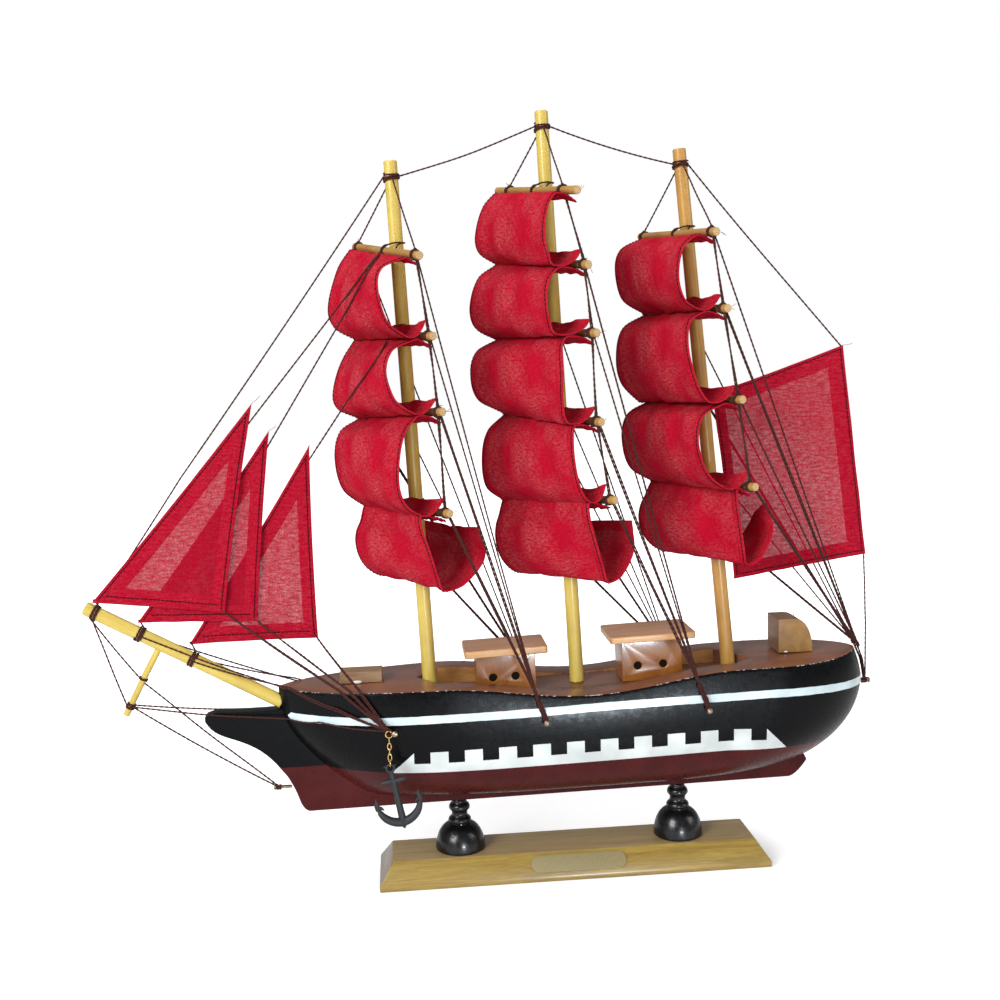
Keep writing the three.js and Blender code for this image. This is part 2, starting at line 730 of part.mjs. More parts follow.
function buildAnchor() {
  const [x, pinHeight] = PIN_SPOTS.fore;
  const { wire, half, ring, shackle, y } = CHAIN;
  const fusedPitch = 2 * half - 2 * wire + FUSED;
  const slackPitch = 2 * half - 2 * wire - SLACK;
  const ringHeight = pinHeight - (ring - wire - PIN_RADIUS) + 0.1;
  const first = ringHeight - ring + 2 * wire - FUSED - half;
  const second = first - fusedPitch;
  const third = second - slackPitch;
  const fourth = third - fusedPitch;
  const hookRing = wireRing(v3(x, y, ringHeight), v3(0, 1, 0), ring, wire);
  const upper = join([hookRing, link(x, first, false), link(x, second, true)]);
  add("anchor_chain_upper", upper, PAINT.gold());
  add("anchor_chain_lower", join([link(x, third, false), link(x, fourth, true)]), PAINT.gold());
  const shackleHeight = fourth - half + 2 * wire + SLACK - shackle;
  const shackleRing = wireRing(v3(x, y, shackleHeight), v3(1, 0, 0), shackle, wire, 14, 5);
  add("anchor_ring", shackleRing, PAINT.gold());
  const eyeHeight = shackleHeight - shackle + wire + SLACK + 0.4 - 1.5;
  const anchor = add("anchor", anchorForm(), PAINT.castIron());
  anchor.position.set(x, y, eyeHeight);
  anchor.rotation.y = degrees(-8);
}

// ---------------------------------------------------------------- rigging

const knot = (at, radius) => new THREE.OctahedronGeometry(radius, 0).translate(at.x, at.y, at.z);

// Thread through a row of points, with a small knot where it turns or ends.
function thread(points) {
  const pieces = [];
  for (let i = 0; i + 1 < points.length; i += 1) {
    pieces.push(rod(points[i], points[i + 1], THREAD_RADIUS, THREAD_RADIUS, 4));
  }
  return pieces.concat(points.map((point) => knot(point, 0.7)));
}

// A lashing round a spar: the ring's centre, the spar's direction and the spar's radius.
function lashing(centre, along, sparRadius) {
  const around = 8;
  const reach = (sparRadius + GAP + LASHING_WIRE) / Math.cos(Math.PI / around);
  return wireRing(centre, along, reach, LASHING_WIRE, around, 4);
}

// Points just outside the hull's side between two stations, from height to height.
function drape(side, fromX, toX, fromZ, toZ, count) {
  return Array.from({ length: count }, (unused, i) => {
    const t = i / (count - 1);
    const x = lerp(fromX, toX, t);
    const z = lerp(fromZ, toZ, t);
    return v3(x, side * (sideAt(x, z) + 1.2), z);
  });
}

// Where thread is made fast, just outside and above the end of a yard.
function yardTip(mast, yard, side) {
  return onYard(yardFrame(mast, yard), side * (yard.half + 2.2)).add(v3(0, 0, 1.4));
}

function mastheadRig(pieces) {
  const heads = Object.values(MASTS).map((mast) => mastAt(mast, mast.head[1] - 5));
  const axisOf = (mast) => mastAt(mast, mast.head[1]).sub(mastAt(mast, mast.foot[1]));
  Object.values(MASTS).forEach((mast, i) => {
    pieces.push(lashing(heads[i], axisOf(mast), MASTHEAD_RADIUS + 0.1));
    for (const side of [-1, 1]) {
      const eye = heads[i].clone().add(v3(0, side * (MASTHEAD_RADIUS + 0.9), 0));
      pieces.push(...thread([eye, yardTip(mast, mast.yards[0], side)]));
    }
  });
  const clear = MASTHEAD_RADIUS + 0.9;
  for (let i = 0; i + 1 < heads.length; i += 1) {
    const from = heads[i].clone().add(v3(clear, 0, 0));
    pieces.push(...thread([from, heads[i + 1].clone().add(v3(-clear, 0, 0))]));
  }
  return heads;
}

// Threads down the yard ends and from every yard end to one gathering point on each side.
function shrouds(pieces, mast, gatherAt) {
  for (const side of [-1, 1]) {
    const tips = mast.yards.map((yard) => yardTip(mast, yard, side));
    const gathering = gatherAt(side);
    pieces.push(...thread(tips), knot(gathering, 0.9));
    for (const tip of tips) {
      pieces.push(rod(tip, gathering, THREAD_RADIUS, THREAD_RADIUS, 4));
    }
  }
}

const SPRIT_SLOPE = (BOWSPRIT.tipHeight - BOWSPRIT.heelHeight) / (BOWSPRIT.heel - BOWSPRIT.tip);

// A point on the bowsprit's axis, or off it square to the axis and to the side.
function onSprit(x, above = 0, aside = 0) {
  const upward = v3(SPRIT_SLOPE, 0, 1).normalize();
  const axis = v3(x, 0, BOWSPRIT.heelHeight + SPRIT_SLOPE * (BOWSPRIT.heel - x));
  return axis.addScaledVector(upward, above).add(v3(0, aside, 0));
}

const PIN_LOOP = PIN_RADIUS + GAP + 2 * LASHING_WIRE; // from a pin's axis to the threads tied over it
const SPRIT_LOOP = BOWSPRIT.radius + GAP + LASHING_WIRE;

// The thread's place on a side pin, inset from the pin's head.
function onSidePin(spot, inset, side) {
  const [x, z] = PIN_SPOTS[spot];
  return v3(x, side * (PIN_REACH[spot] - inset), z);
}

const PIN_INSETS = { fore: 4.4, mid: 1.7, aft: 1.7 };
const STERN_LOOP = v3(129.4, 0, STERN_PIN_HEIGHT);
const STEM_LOOP = v3(-122.8, 0, STEM_PIN_HEIGHT);
const TAFFRAIL = (side) => v3(125.4, side * 1.6, 91.4);

function pinLoops(pieces) {
  for (const side of [-1, 1]) {
    for (const [spot, inset] of Object.entries(PIN_INSETS)) {
      pieces.push(lashing(onSidePin(spot, inset, side), v3(0, 1, 0), PIN_RADIUS));
    }
  }
  pieces.push(lashing(STERN_LOOP, v3(1, 0, 0), PIN_RADIUS));
  pieces.push(lashing(STEM_LOOP, v3(1, 0, 0), PIN_RADIUS));
}

// The stays that carry the jibs run from the foremast to loops on the bowsprit.
function stays(pieces, foremastHead) {
  const stations = [-193, -178.6, -158.2];
  for (const x of stations) {
    pieces.push(lashing(onSprit(x), onSprit(x - 1).sub(onSprit(x)), BOWSPRIT.radius));
  }
  const seats = stations.map((x) => onSprit(x, SPRIT_LOOP));
  const aside = (point, y) => v3(point.x, y, point.z);
  const foreTop = yardFrame(MASTS.fore, MASTS.fore.yards[0]).centre;
  const overYard = foreTop.z + YARD_RADIUS + 1.8;
  const mast = mastAt(MASTS.fore, overYard);
  pieces.push(lashing(mast, v3(-0.038, 0, 1), MASTHEAD_RADIUS + 0.3));
  const stayHead = v3(foreTop.x - 10.5, 0, overYard);
  const [outer, , inner] = JIBS;
  pieces.push(...thread([v3(mast.x - MAST_RADIUS - 0.9, 0, overYard), stayHead, seats[1]]));
  pieces.push(...thread([stayHead, aside(stayHead, outer.y), aside(seats[0], outer.y), seats[0]]));
  const second = yardFrame(MASTS.fore, MASTS.fore.yards[1]).centre;
  const innerStay = [
    v3(second.x - 5.2, inner.y, second.z),
    v3(second.x - 14.5, inner.y, second.z),
    v3(inner.head[0] - 2.2, inner.y, inner.head[1] + 1),
    aside(seats[2], inner.y),
    seats[2],
  ];
  pieces.push(...thread(innerStay));
  pieces.push(...thread([foremastHead.clone().add(v3(-MASTHEAD_RADIUS - 0.9, 0, 0)), seats[0]]));
}

// Lines below and beside the bowsprit.
function bobstays(pieces) {
  const boomEnd = v3(-183.6, 0, 75.6);
  pieces.push(...thread([onSprit(-193, -SPRIT_LOOP), boomEnd, v3(-180, 0, 75.2), onSprit(-158.2, -SPRIT_LOOP)]));
  pieces.push(...thread([boomEnd, STEM_LOOP.clone().add(v3(0, 0, PIN_LOOP))]));
  for (const side of [-1, 1]) {
    const belay = onSidePin("fore", PIN_INSETS.fore, side).add(v3(0, 0, PIN_LOOP));
    pieces.push(...thread([boomEnd, v3(-184, side * 2.4, 76.4), belay]));
    const alongHull = drape(side, -117, -84, 84, 73.6, 7);
    pieces.push(...thread([onSprit(-158.2, 0, side * SPRIT_LOOP), ...alongHull, belay]));
  }
}

// Jib sheets, led over the deck's edge to the port fore pin.
function jibSheets(pieces) {
  const belay = onSidePin("fore", PIN_INSETS.fore, -1).add(v3(0, 0, PIN_LOOP));
  JIBS.forEach((jib, i) => {
    const clew = v3(jib.clew[0] + 1.6, jib.y, jib.clew[1] - 0.6);
    const x = -86 + i * 2.4;
    pieces.push(...thread([clew, v3(x, -sideAt(x, 84) - 1.4, 86.6), belay]));
  });
}

function buildRigging() {
  const pieces = [];
  const heads = mastheadRig(pieces);
  const gather = (spot) => (side) =>
    onSidePin(spot, PIN_INSETS[spot], side).add(v3(0, 0, PIN_LOOP));
  const sternKnot = STERN_LOOP.clone().add(v3(0, 0, PIN_LOOP));
  shrouds(pieces, MASTS.fore, gather("mid"));
  shrouds(pieces, MASTS.main, gather("aft"));
  shrouds(pieces, MASTS.mizzen, TAFFRAIL);
  for (const side of [-1, 1]) pieces.push(...thread([TAFFRAIL(side), sternKnot]));
  pinLoops(pieces);
  stays(pieces, heads[0]);
  bobstays(pieces);
  jibSheets(pieces);

  // The spanker's halyard and sheet.
  const peak = v3(SPANKER.peak[0] + 0.4, 0, SPANKER.peak[1] + 1.4);
  const clew = v3(SPANKER.clew[0] + 0.4, 0, SPANKER.clew[1] - 1.4);
  pieces.push(...thread([heads[2].clone().add(v3(MASTHEAD_RADIUS + 0.9, 0, 0)), peak]));
  pieces.push(...thread([clew, v3(131, 0, 90), sternKnot]));

  add("rigging", join(pieces, 0.06), PAINT.thread());
}

// ---------------------------------------------------------------- assembly

buildStand();
buildHull();
buildDeckFurniture();
buildSpars();
buildSquareSails();
buildForeAndAftSails();
buildPins();
buildAnchor();
buildRigging();

export default ship;
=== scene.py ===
"""Looks of the desk model sailing ship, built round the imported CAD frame.

Lengths in this script are millimetres until a mesh is made; the frame is metres.
+X points aft, -Y is port, +Z is up, and the origin is the centre of the plinth's underside.
"""

import json
import math

import bmesh
import bpy
import numpy as np
from mathutils import Matrix, Vector

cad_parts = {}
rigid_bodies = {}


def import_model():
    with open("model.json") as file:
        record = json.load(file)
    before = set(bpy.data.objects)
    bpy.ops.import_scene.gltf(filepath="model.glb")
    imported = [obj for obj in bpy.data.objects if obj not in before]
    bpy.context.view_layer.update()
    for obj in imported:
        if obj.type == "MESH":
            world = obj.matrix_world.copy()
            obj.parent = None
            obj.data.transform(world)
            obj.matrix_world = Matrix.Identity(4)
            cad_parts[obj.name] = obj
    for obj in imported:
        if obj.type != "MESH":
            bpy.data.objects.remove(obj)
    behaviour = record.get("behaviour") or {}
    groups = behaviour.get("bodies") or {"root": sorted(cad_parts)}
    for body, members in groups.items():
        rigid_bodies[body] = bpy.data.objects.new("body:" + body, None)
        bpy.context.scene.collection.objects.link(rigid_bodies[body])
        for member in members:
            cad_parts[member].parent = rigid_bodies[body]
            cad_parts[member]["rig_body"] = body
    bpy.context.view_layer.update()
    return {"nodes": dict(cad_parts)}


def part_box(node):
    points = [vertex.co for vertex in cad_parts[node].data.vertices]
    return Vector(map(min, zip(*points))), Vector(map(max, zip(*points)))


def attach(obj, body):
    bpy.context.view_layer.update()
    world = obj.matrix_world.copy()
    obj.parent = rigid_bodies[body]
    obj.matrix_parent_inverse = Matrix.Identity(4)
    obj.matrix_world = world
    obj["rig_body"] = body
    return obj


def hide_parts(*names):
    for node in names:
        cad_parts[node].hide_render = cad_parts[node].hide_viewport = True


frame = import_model()

MM = 0.001
TAU = 2 * math.pi

# ---------------------------------------------------------------- dimensions shared with the CAD

BOW, STERN, COUNTER = -121.0, 123.7, 126.9
BEAM = 52.6
BOW_ENTRY, STERN_RUN, COUNTER_RUN = 75.0, 40.0, 55.0
CHEEKS = 1.2
WELL_FORE, WELL_AFT, WELL_HALF = -64.2, 77.0, 13.0

BOWSPRIT_HEEL = (-121.4, 78.8)
BOWSPRIT_TIP = (-197.0, 121.2)
BOWSPRIT_RADIUS = 2.8
MAST_RADIUS, MASTHEAD_RADIUS = 3.0, 2.7
YARD_RADIUS = 1.65
BOOM_RADIUS = 1.32  # the martingale boom
PIN_SHANK = 0.65
GAP = 0.3
SAIL_INSET = 4.0  # bare yard outside each side of a sail

# Mast axes as (x, z) at foot and head. Yards from the top: height, half length, brace, cant.
# Sails from the top, port and starboard edge: how far forward of the yards the head, the belly and
# the foot reach, and how far the belly hangs below the middle.
# The scoop is the lowest sail. Its round section has the half axes reach and drop and is shifted aft;
# the cloth ends at back degrees along it, or at slit degrees in the middle. The port end is flatter:
# crest and base are how far forward it reaches at the top and at the bottom, rear how far aft.
MASTS = {
    "fore": {
        "foot": (-58.5, 82.6),
        "head": (-66.6, 296.2),
        "sails": [
            ((5, 18, 9, -1), (4.5, 14.6, 3.5, 6)),
            ((6, 20, 10, 0), (3.5, 14, 4, 7)),
            ((9, 19.5, 10.5, 4), (3.5, 15.5, 3.2, -2)),
        ],
        "scoop": {"reach": 15.5, "drop": 15.0, "aft": 5.3, "back": 304, "slit": 296,
                  "crest": 12.0, "base": 1.0, "rear": 19.5},
        "yards": [
            (260.8, 30.6, 24.7, 0.154),
            (226.5, 32.5, 28.2, 0.023),
            (195.4, 33.6, 29.9, -0.044),
            (156.9, 33.5, 30.0, -0.02),
        ],
    },
    "main": {
        "foot": (3.7, 79.3),
        "head": (-5.5, 314.8),
        "sails": [
            ((7.6, 14.6, 13.5, 4), (4, 13, 4, 4)),
            ((10.9, 18.5, 16, 3), (4, 16.7, 5, 3)),
            ((11.4, 14.5, 12.6, -1), (5, 17.9, 3.5, -1)),
            ((9.9, 13.2, 9, 4), (3.5, 14.2, 3.5, 1)),
        ],
        "scoop": {"reach": 13.0, "drop": 16.0, "aft": 3.0, "back": 298, "slit": 292,
                  "crest": 11.0, "base": 0.0, "rear": 15.0},
        "yards": [
            (283.4, 33.0, 22.0, 0.135),
            (254.4, 34.6, 25.0, 0.1),
            (225.5, 35.5, 27.0, 0.01),
            (192.4, 35.4, 26.5, 0.04),
            (158.4, 37.4, 30.5, -0.06),
        ],
    },
    "mizzen": {
        "foot": (69.0, 83.7),
        "head": (50.6, 299.2),
        "sails": [
            ((7.2, 16.6, 10.4, 3), (3.2, 15.3, 3.2, -1)),
            ((8.7, 17.9, 13, -3), (3.2, 17.1, 8, -2)),
            ((6.5, 20.5, 10.9, -1), (4.1, 17.2, 3.2, -1)),
        ],
        "scoop": {"reach": 16.5, "drop": 15.3, "aft": 4.0, "back": 308, "slit": 200,
                  "crest": 6.0, "base": 0.5, "rear": 13.5},
        "yards": [
            (265.0, 32.6, 14.5, 0.08),
            (234.0, 33.8, 16.0, 0.026),
            (197.6, 35.3, 19.0, -0.008),
            (162.5, 35.5, 22.0, -0.03),
        ],
    },
}

# Belaying pins in the sides: x, z and distance of the head from the centreline.
SIDE_PINS = {"fore": (-76.0, 70.3, 29.4), "mid": (-13.1, 71.5, 30.0), "aft": (53.2, 72.8, 30.0)}
STERN_PIN = (131.6, 74.0)
STEM_PIN = (-125.2, 41.6)

SIDES = ((-1, "port"), (1, "starboard"))

rng = np.random.default_rng(7)


def vec(*values):
    return np.array(values, float)


FORE_AND_AFT, ATHWART = vec(1, 0, 0), vec(0, 1, 0)


def unit(v):
    return v / np.maximum(np.linalg.norm(v, axis=-1, keepdims=True), 1e-9)


def lerp(a, b, t):
    return a + (b - a) * t


def smooth(low, high, value):
    t = np.clip((value - low) / (high - low), 0, 1)
    return t * t * (3 - 2 * t)


def round_turn(count):
    """Evenly spaced angles round a circle."""
    return np.arange(count) / count * TAU


def lengths_along(path):
    """The length of a path from its start to each of its points."""
    return np.concatenate([[0], np.cumsum(np.linalg.norm(np.diff(path, axis=0), axis=1))])


# ---------------------------------------------------------------- hull form


def keel_line(x):
    return 37.6 + 0.0134 * x


def sheer_line(x):
    off_waist = np.clip(np.abs(x - 6) / 62, 0, 1)
    dip = 6.1 * np.cos(off_waist * math.pi / 2) ** 2
    poop = 0.9 * (np.maximum(0, x - 90) / 35) ** 2
    return 84.5 + 0.0175 * (x - BOW) - dip + poop


def stem_at(level):
    return BOW + 34 * np.maximum(0, 1 - level / 0.8) ** 1.5


def counter_at(level):
    low = np.minimum(1, level / 0.75)
    high = np.maximum(0, (level - 0.75) / 0.25)
    return 84 + (COUNTER - 84) * (2 * low - low * low) ** 0.62 - (COUNTER - STERN) * high**1.5


def fullness(distance, length, power):
    u = np.clip(distance / length, 0, 1)
    return (2 * u - u * u) ** power


def half_breadth(x, level):
    entry = fullness(x - stem_at(level), BOW_ENTRY, 0.62)
    run = fullness(counter_at(level) - x, lerp(COUNTER_RUN, STERN_RUN, level), 0.6)
    bilge = np.minimum(1, level / 0.5)
    flat = lerp(0.2, 0.32, np.minimum(entry, run))
    rounding = flat + (1 - flat) * np.sqrt(2 * bilge - bilge * bilge)
    tumblehome = 1 - 0.065 * (np.maximum(0, level - 0.6) / 0.4) ** 2
    return np.maximum(CHEEKS, BEAM / 2 * entry * run * rounding * tumblehome)


def side_at(x, z):
    level = np.clip((z - keel_line(x)) / (sheer_line(x) - keel_line(x)), 0, 1)
    return half_breadth(x, level)


def well_floor(x):
    return 80 + 0.03 * x


def beside(x, z, side, clear):
    """How far athwart a point lies that clears the hull's side."""
    return side * (float(side_at(x, z)) + clear)


# ---------------------------------------------------------------- meshes


def linked(name, data):
    """A new object in the scene."""
    obj = bpy.data.objects.new(name, data)
    bpy.context.scene.collection.objects.link(obj)
    return obj


def bands(rows, columns, wrap=False, flip=False):
    """Faces of a tube whose sections are the rows of a grid. wrap joins its last row to its first."""
    faces = []
    for i in range(rows if wrap else rows - 1):
        a, b = i * columns, (i + 1) % rows * columns
        for k in range(columns):
            n = (k + 1) % columns
            faces.append((a + k, b + k, b + n, a + n) if flip else (a + k, a + n, b + n, b + k))
    return faces


class Builder:
    """Gathers parts of one mesh: points in millimetres, faces, a UV per face corner, a material per face."""

    def __init__(self):
        self.points = []
        self.count = 0
        self.faces = []
        self.uvs = []
        self.slots = []

    def add(self, points, faces, uvs=None, slot=0):
        """uvs holds one (u, v) per point."""
        points = np.asarray(points, float).reshape(-1, 3)
        uvs = np.zeros((len(points), 2)) if uvs is None else np.asarray(uvs, float).reshape(-1, 2)
        for face in faces:
            self.faces.append([i + self.count for i in face])
            self.uvs.extend(uvs[i] for i in face)
            self.slots.append(slot)
        self.points.append(points)
        self.count += len(points)

    def tube(self, path, radius, sides=8, lobes=0.0, pitch=2.4, slot=0, end_slot=None, chamfer=0.0):
        """A closed tube along a path. lobes > 0 gives it the section of two twisted strands."""
        path = np.asarray(path, float)
        radii = np.broadcast_to(np.asarray(radius, float), (len(path),)).copy()
        if chamfer > 0:
            ends = unit(path[1] - path[0]), unit(path[-1] - path[-2])
            first, last = radii[0], radii[-1]
            path = np.vstack([path[:1], path[:1] + ends[0] * chamfer, path[1:-1],
                              path[-1:] - ends[1] * chamfer, path[-1:]])
            radii = np.concatenate([[first - chamfer], [first], radii[1:-1], [last], [last - chamfer]])
        along = lengths_along(path)
        tangents = unit(np.gradient(path, axis=0))
        side = np.cross(tangents[0], vec(0, 0, 1))
        if np.linalg.norm(side) < 0.1:
            side = np.cross(tangents[0], vec(0, 1, 0))
        side = unit(side)
        rings = np.empty((len(path), sides, 3))
        angles = round_turn(sides)
        for i, tangent in enumerate(tangents):
            side = unit(side - tangent * np.dot(side, tangent))
            other = np.cross(tangent, side)
            swell = 1 + lobes * np.cos(2 * angles - TAU * along[i] / pitch)
            around = np.cos(angles)[:, None] * side + np.sin(angles)[:, None] * other
            rings[i] = path[i] + around * (radii[i] * swell)[:, None]
        girth = TAU * float(np.mean(radii))
        uvs = np.empty((len(path), sides, 2))
        uvs[..., 0] = angles / TAU * girth
        uvs[..., 1] = along[:, None]
        self.add(rings, bands(len(path), sides), uvs, slot)
        cap = slot if end_slot is None else end_slot
        offset = np.stack([np.cos(angles), np.sin(angles)], axis=1)
        self.add(rings[0], [tuple(reversed(range(sides)))], offset * radii[0], cap)
        self.add(rings[-1], [tuple(range(sides))], offset * radii[-1], cap)

    def loop(self, path, radius, sides=8):
        """A ring of wire along a closed path."""
        path = np.asarray(path, float)
        n = len(path)
        tangents = unit(np.roll(path, -1, 0) - np.roll(path, 1, 0))
        outward = path - path.mean(0)
        outward = unit(outward - tangents * np.sum(outward * tangents, 1, keepdims=True))
        across = np.cross(tangents, outward)
        angles = round_turn(sides)
        rings = path[:, None] + radius * (
            np.cos(angles)[None, :, None] * outward[:, None] + np.sin(angles)[None, :, None] * across[:, None]
        )
        uvs = np.zeros((n, sides, 2))
        uvs[..., 0] = angles * radius
        uvs[..., 1] = np.arange(n)[:, None] * 0.5
        self.add(rings, bands(n, sides, wrap=True, flip=True), uvs)

    def turned(self, profile, place, sides):
        """A solid turned about Z from (radius, height) pairs that start and end on the axis."""
        profile = np.asarray(profile, float)
        angles = round_turn(sides)
        ring = np.stack([np.cos(angles), np.sin(angles), np.zeros(sides)], 1)
        points = profile[:, 0, None, None] * ring + profile[:, 1, None, None] * vec(0, 0, 1)
        uvs = np.zeros((len(profile), sides, 2))
        uvs[..., 0] = angles * np.maximum(profile[:, 0], 0.5)[:, None]
        uvs[..., 1] = profile[:, 1, None]
        self.add(place(points.reshape(-1, 3)), bands(len(profile), sides), uvs)

    def sheet(self, middle, normals, thickness, uvs, keep=None, slot=0):
        """Cloth of the given thickness on a grid of points. keep says which cells are there."""
        rows, columns = middle.shape[:2]
        half = np.broadcast_to(np.asarray(thickness, float), (rows, columns))[..., None] / 2
        front = (middle + normals * half).reshape(-1, 3)
        back = (middle - normals * half).reshape(-1, 3)
        n = rows * columns
        if keep is None:
            keep = np.ones((rows - 1, columns - 1), bool)
        padded = np.pad(keep, 1)
        faces = []
        for i, j in np.argwhere(keep):
            a, b = i * columns + j, i * columns + j + 1
            c, d = b + columns, a + columns
            faces += [(a, b, c, d), (n + d, n + c, n + b, n + a)]
            for row, column, p, q in ((i, j + 1, b, a), (i + 2, j + 1, d, c), (i + 1, j, a, d), (i + 1, j + 2, c, b)):
                if not padded[row, column]:
                    faces.append((p, q, n + q, n + p))
        flat = uvs.reshape(-1, 2)
        self.add(np.vstack([front, back]), faces, np.vstack([flat, flat]), slot)

    def make(self, name, materials, body, slot, replaces=(), sharp=None):
        mesh = bpy.data.meshes.new(name)
        mesh.from_pydata((np.vstack(self.points) * MM).tolist(), [], self.faces)
        layer = mesh.uv_layers.new(name="UVMap")
        layer.data.foreach_set("uv", np.asarray(self.uvs, np.float32).ravel())
        mesh.polygons.foreach_set("material_index", self.slots)
        mesh.polygons.foreach_set("use_smooth", [True] * len(mesh.polygons))
        for material in materials if isinstance(materials, (list, tuple)) else [materials]:
            mesh.materials.append(material)
        mesh.validate()
        if sharp is not None:
            mesh.set_sharp_from_angle(angle=math.radians(sharp))
        return enrol(linked(name, mesh), body, replaces)


def enrol(obj, body, replaces=()):
    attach(obj, body)
    if replaces:
        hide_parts(*replaces)
    return obj


def dressed(node, material, bevel, extra=()):
    """A piece with the CAD node's shape and softened edges, which stands for the node."""
    source = frame["nodes"][node]
    bm = bmesh.new()
    bm.from_mesh(source.data)
    bmesh.ops.remove_doubles(bm, verts=bm.verts, dist=1e-6)
    bmesh.ops.dissolve_limit(bm, angle_limit=math.radians(1.5), verts=bm.verts, edges=bm.edges)
    limit = math.radians(35)
    edges = [e for e in bm.edges if len(e.link_faces) == 2 and e.calc_face_angle() > limit]
    bmesh.ops.bevel(bm, geom=edges, offset=bevel * MM, segments=3, profile=0.6, affect="EDGES", clamp_overlap=True)
    mesh = bpy.data.meshes.new(node + "_shown")
    bm.to_mesh(mesh)
    bm.free()
    for entry in [material, *extra]:
        mesh.materials.append(entry)
    mesh.polygons.foreach_set("use_smooth", [True] * len(mesh.polygons))
    mesh.set_sharp_from_angle(angle=math.radians(30))
    return enrol(linked(node + "_shown", mesh), source["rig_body"], [node])


# ---------------------------------------------------------------- materials


class Shader:
    """A Principled material under construction."""

    def __init__(self, name):
        self.material = bpy.data.materials.new(name)
        self.material.use_nodes = True
        self.tree = self.material.node_tree
        self.surface = self.tree.nodes["Principled BSDF"]
        self.output = self.tree.nodes["Material Output"]

    def put(self, socket, value):
        if isinstance(value, bpy.types.NodeSocket):
            self.tree.links.new(value, socket)
        elif isinstance(value, tuple) and socket.type == "RGBA" and len(value) == 3:
            socket.default_value = (*value, 1)
        else:
            socket.default_value = value

    def node(self, kind, inputs=None, **properties):
        node = self.tree.nodes.new(kind)
        for key, value in properties.items():
            setattr(node, key, value)
        for key, value in (inputs or {}).items():
            self.put(node.inputs[key], value)
        return node

    def coords(self, kind, scale=(1, 1, 1)):
        """Coordinates in millimetres, stretched by scale. kind is UV or Object."""
        source = self.node("ShaderNodeTexCoord").outputs[kind]
        unit_scale = 1 if kind == "UV" else 1 / MM
        factors = tuple(s * unit_scale for s in scale)
        return self.node("ShaderNodeMapping", {"Vector": source, "Scale": factors}).outputs["Vector"]

    def noise(self, vector, scale, detail=3.0, roughness=0.5, distortion=0.0):
        inputs = {"Vector": vector, "Scale": scale, "Detail": detail, "Roughness": roughness,
                  "Distortion": distortion}
        return self.node("ShaderNodeTexNoise", inputs).outputs["Fac"]

    def wave(self, vector, scale, distortion=0.0, direction="X", kind="BANDS"):
        inputs = {"Vector": vector, "Scale": scale, "Distortion": distortion, "Detail": 2.0}
        wave = self.node("ShaderNodeTexWave", inputs, wave_type=kind)
        if kind == "BANDS":
            wave.bands_direction = direction
        return wave.outputs["Fac"]

    def sums(self, operation, a, b=0.0, c=0.0):
        node = self.node("ShaderNodeMath", operation=operation)
        for socket, value in zip(node.inputs, (a, b, c)):
            self.put(socket, value)
        return node.outputs[0]

    def ramp(self, value, stops):
        node = self.node("ShaderNodeValToRGB", {"Fac": value})
        elements = node.color_ramp.elements
        while len(elements) < len(stops):
            elements.new(0.5)
        for element, (position, color) in zip(elements, stops):
            element.position = position
            element.color = (*color, 1) if isinstance(color, tuple) else (color, color, color, 1)
        return node.outputs["Color"]

    def mix(self, factor, a, b, blend="MIX"):
        node = self.node("ShaderNodeMix", data_type="RGBA", blend_type=blend)
        self.put(node.inputs[0], factor)
        self.put(node.inputs[6], a)
        self.put(node.inputs[7], b)
        return node.outputs[2]

    def remap(self, value, low, high, to_low, to_high):
        inputs = {"Value": value, "From Min": low, "From Max": high, "To Min": to_low, "To Max": to_high}
        return self.node("ShaderNodeMapRange", inputs).outputs["Result"]

    def bump(self, height, depth, below=None):
        """Relief of the given depth in millimetres."""
        inputs = {"Height": height, "Strength": 1.0, "Distance": depth * MM}
        if below is not None:
            inputs["Normal"] = below
        return self.node("ShaderNodeBump", inputs).outputs["Normal"]

    def done(self, **inputs):
        for key, value in inputs.items():
            self.put(self.surface.inputs[key.replace("_", " ")], value)
        return self.material


def wood(name, light, dark, kind, stretch, gloss, pores=0.05, coat=0.0, spread=0.5):
    """Wood with grain along the axis whose stretch factor is small."""
    s = Shader(name)
    grain = s.coords(kind, stretch)
    figure = s.noise(grain, 0.55, 4, 0.6, 0.6)
    fibre = s.noise(grain, 4.5, 3, 0.7)
    blotch = s.noise(s.coords(kind), 0.06, 2)
    both = s.sums("MULTIPLY_ADD", fibre, 0.35, s.sums("MULTIPLY", figure, 0.65))
    tone = s.remap(both, 0.5 - spread / 2, 0.5 + spread / 2, 0.0, 1.0)
    color = s.mix(tone, dark, light)
    color = s.mix(s.remap(blotch, 0.35, 0.7, 0.0, 0.35), color, dark, "MULTIPLY")
    rough = s.remap(fibre, 0.3, 0.7, gloss - 0.06, gloss + 0.1)
    return s.done(Base_Color=color, Roughness=rough, Normal=s.bump(both, pores), Coat_Weight=coat,
                  Specular_IOR_Level=0.3, Coat_Roughness=0.15)


def end_grain(name, light, dark):
    s = Shader(name)
    plane = s.coords("UV")
    rings = s.wave(plane, 0.55, 1.5, kind="RINGS")
    specks = s.noise(plane, 3.0, 3, 0.7)
    color = s.mix(s.sums("MULTIPLY_ADD", rings, 0.4, s.sums("MULTIPLY", specks, 0.5)), light, dark)
    return s.done(Base_Color=color, Roughness=0.75, Normal=s.bump(specks, 0.08))


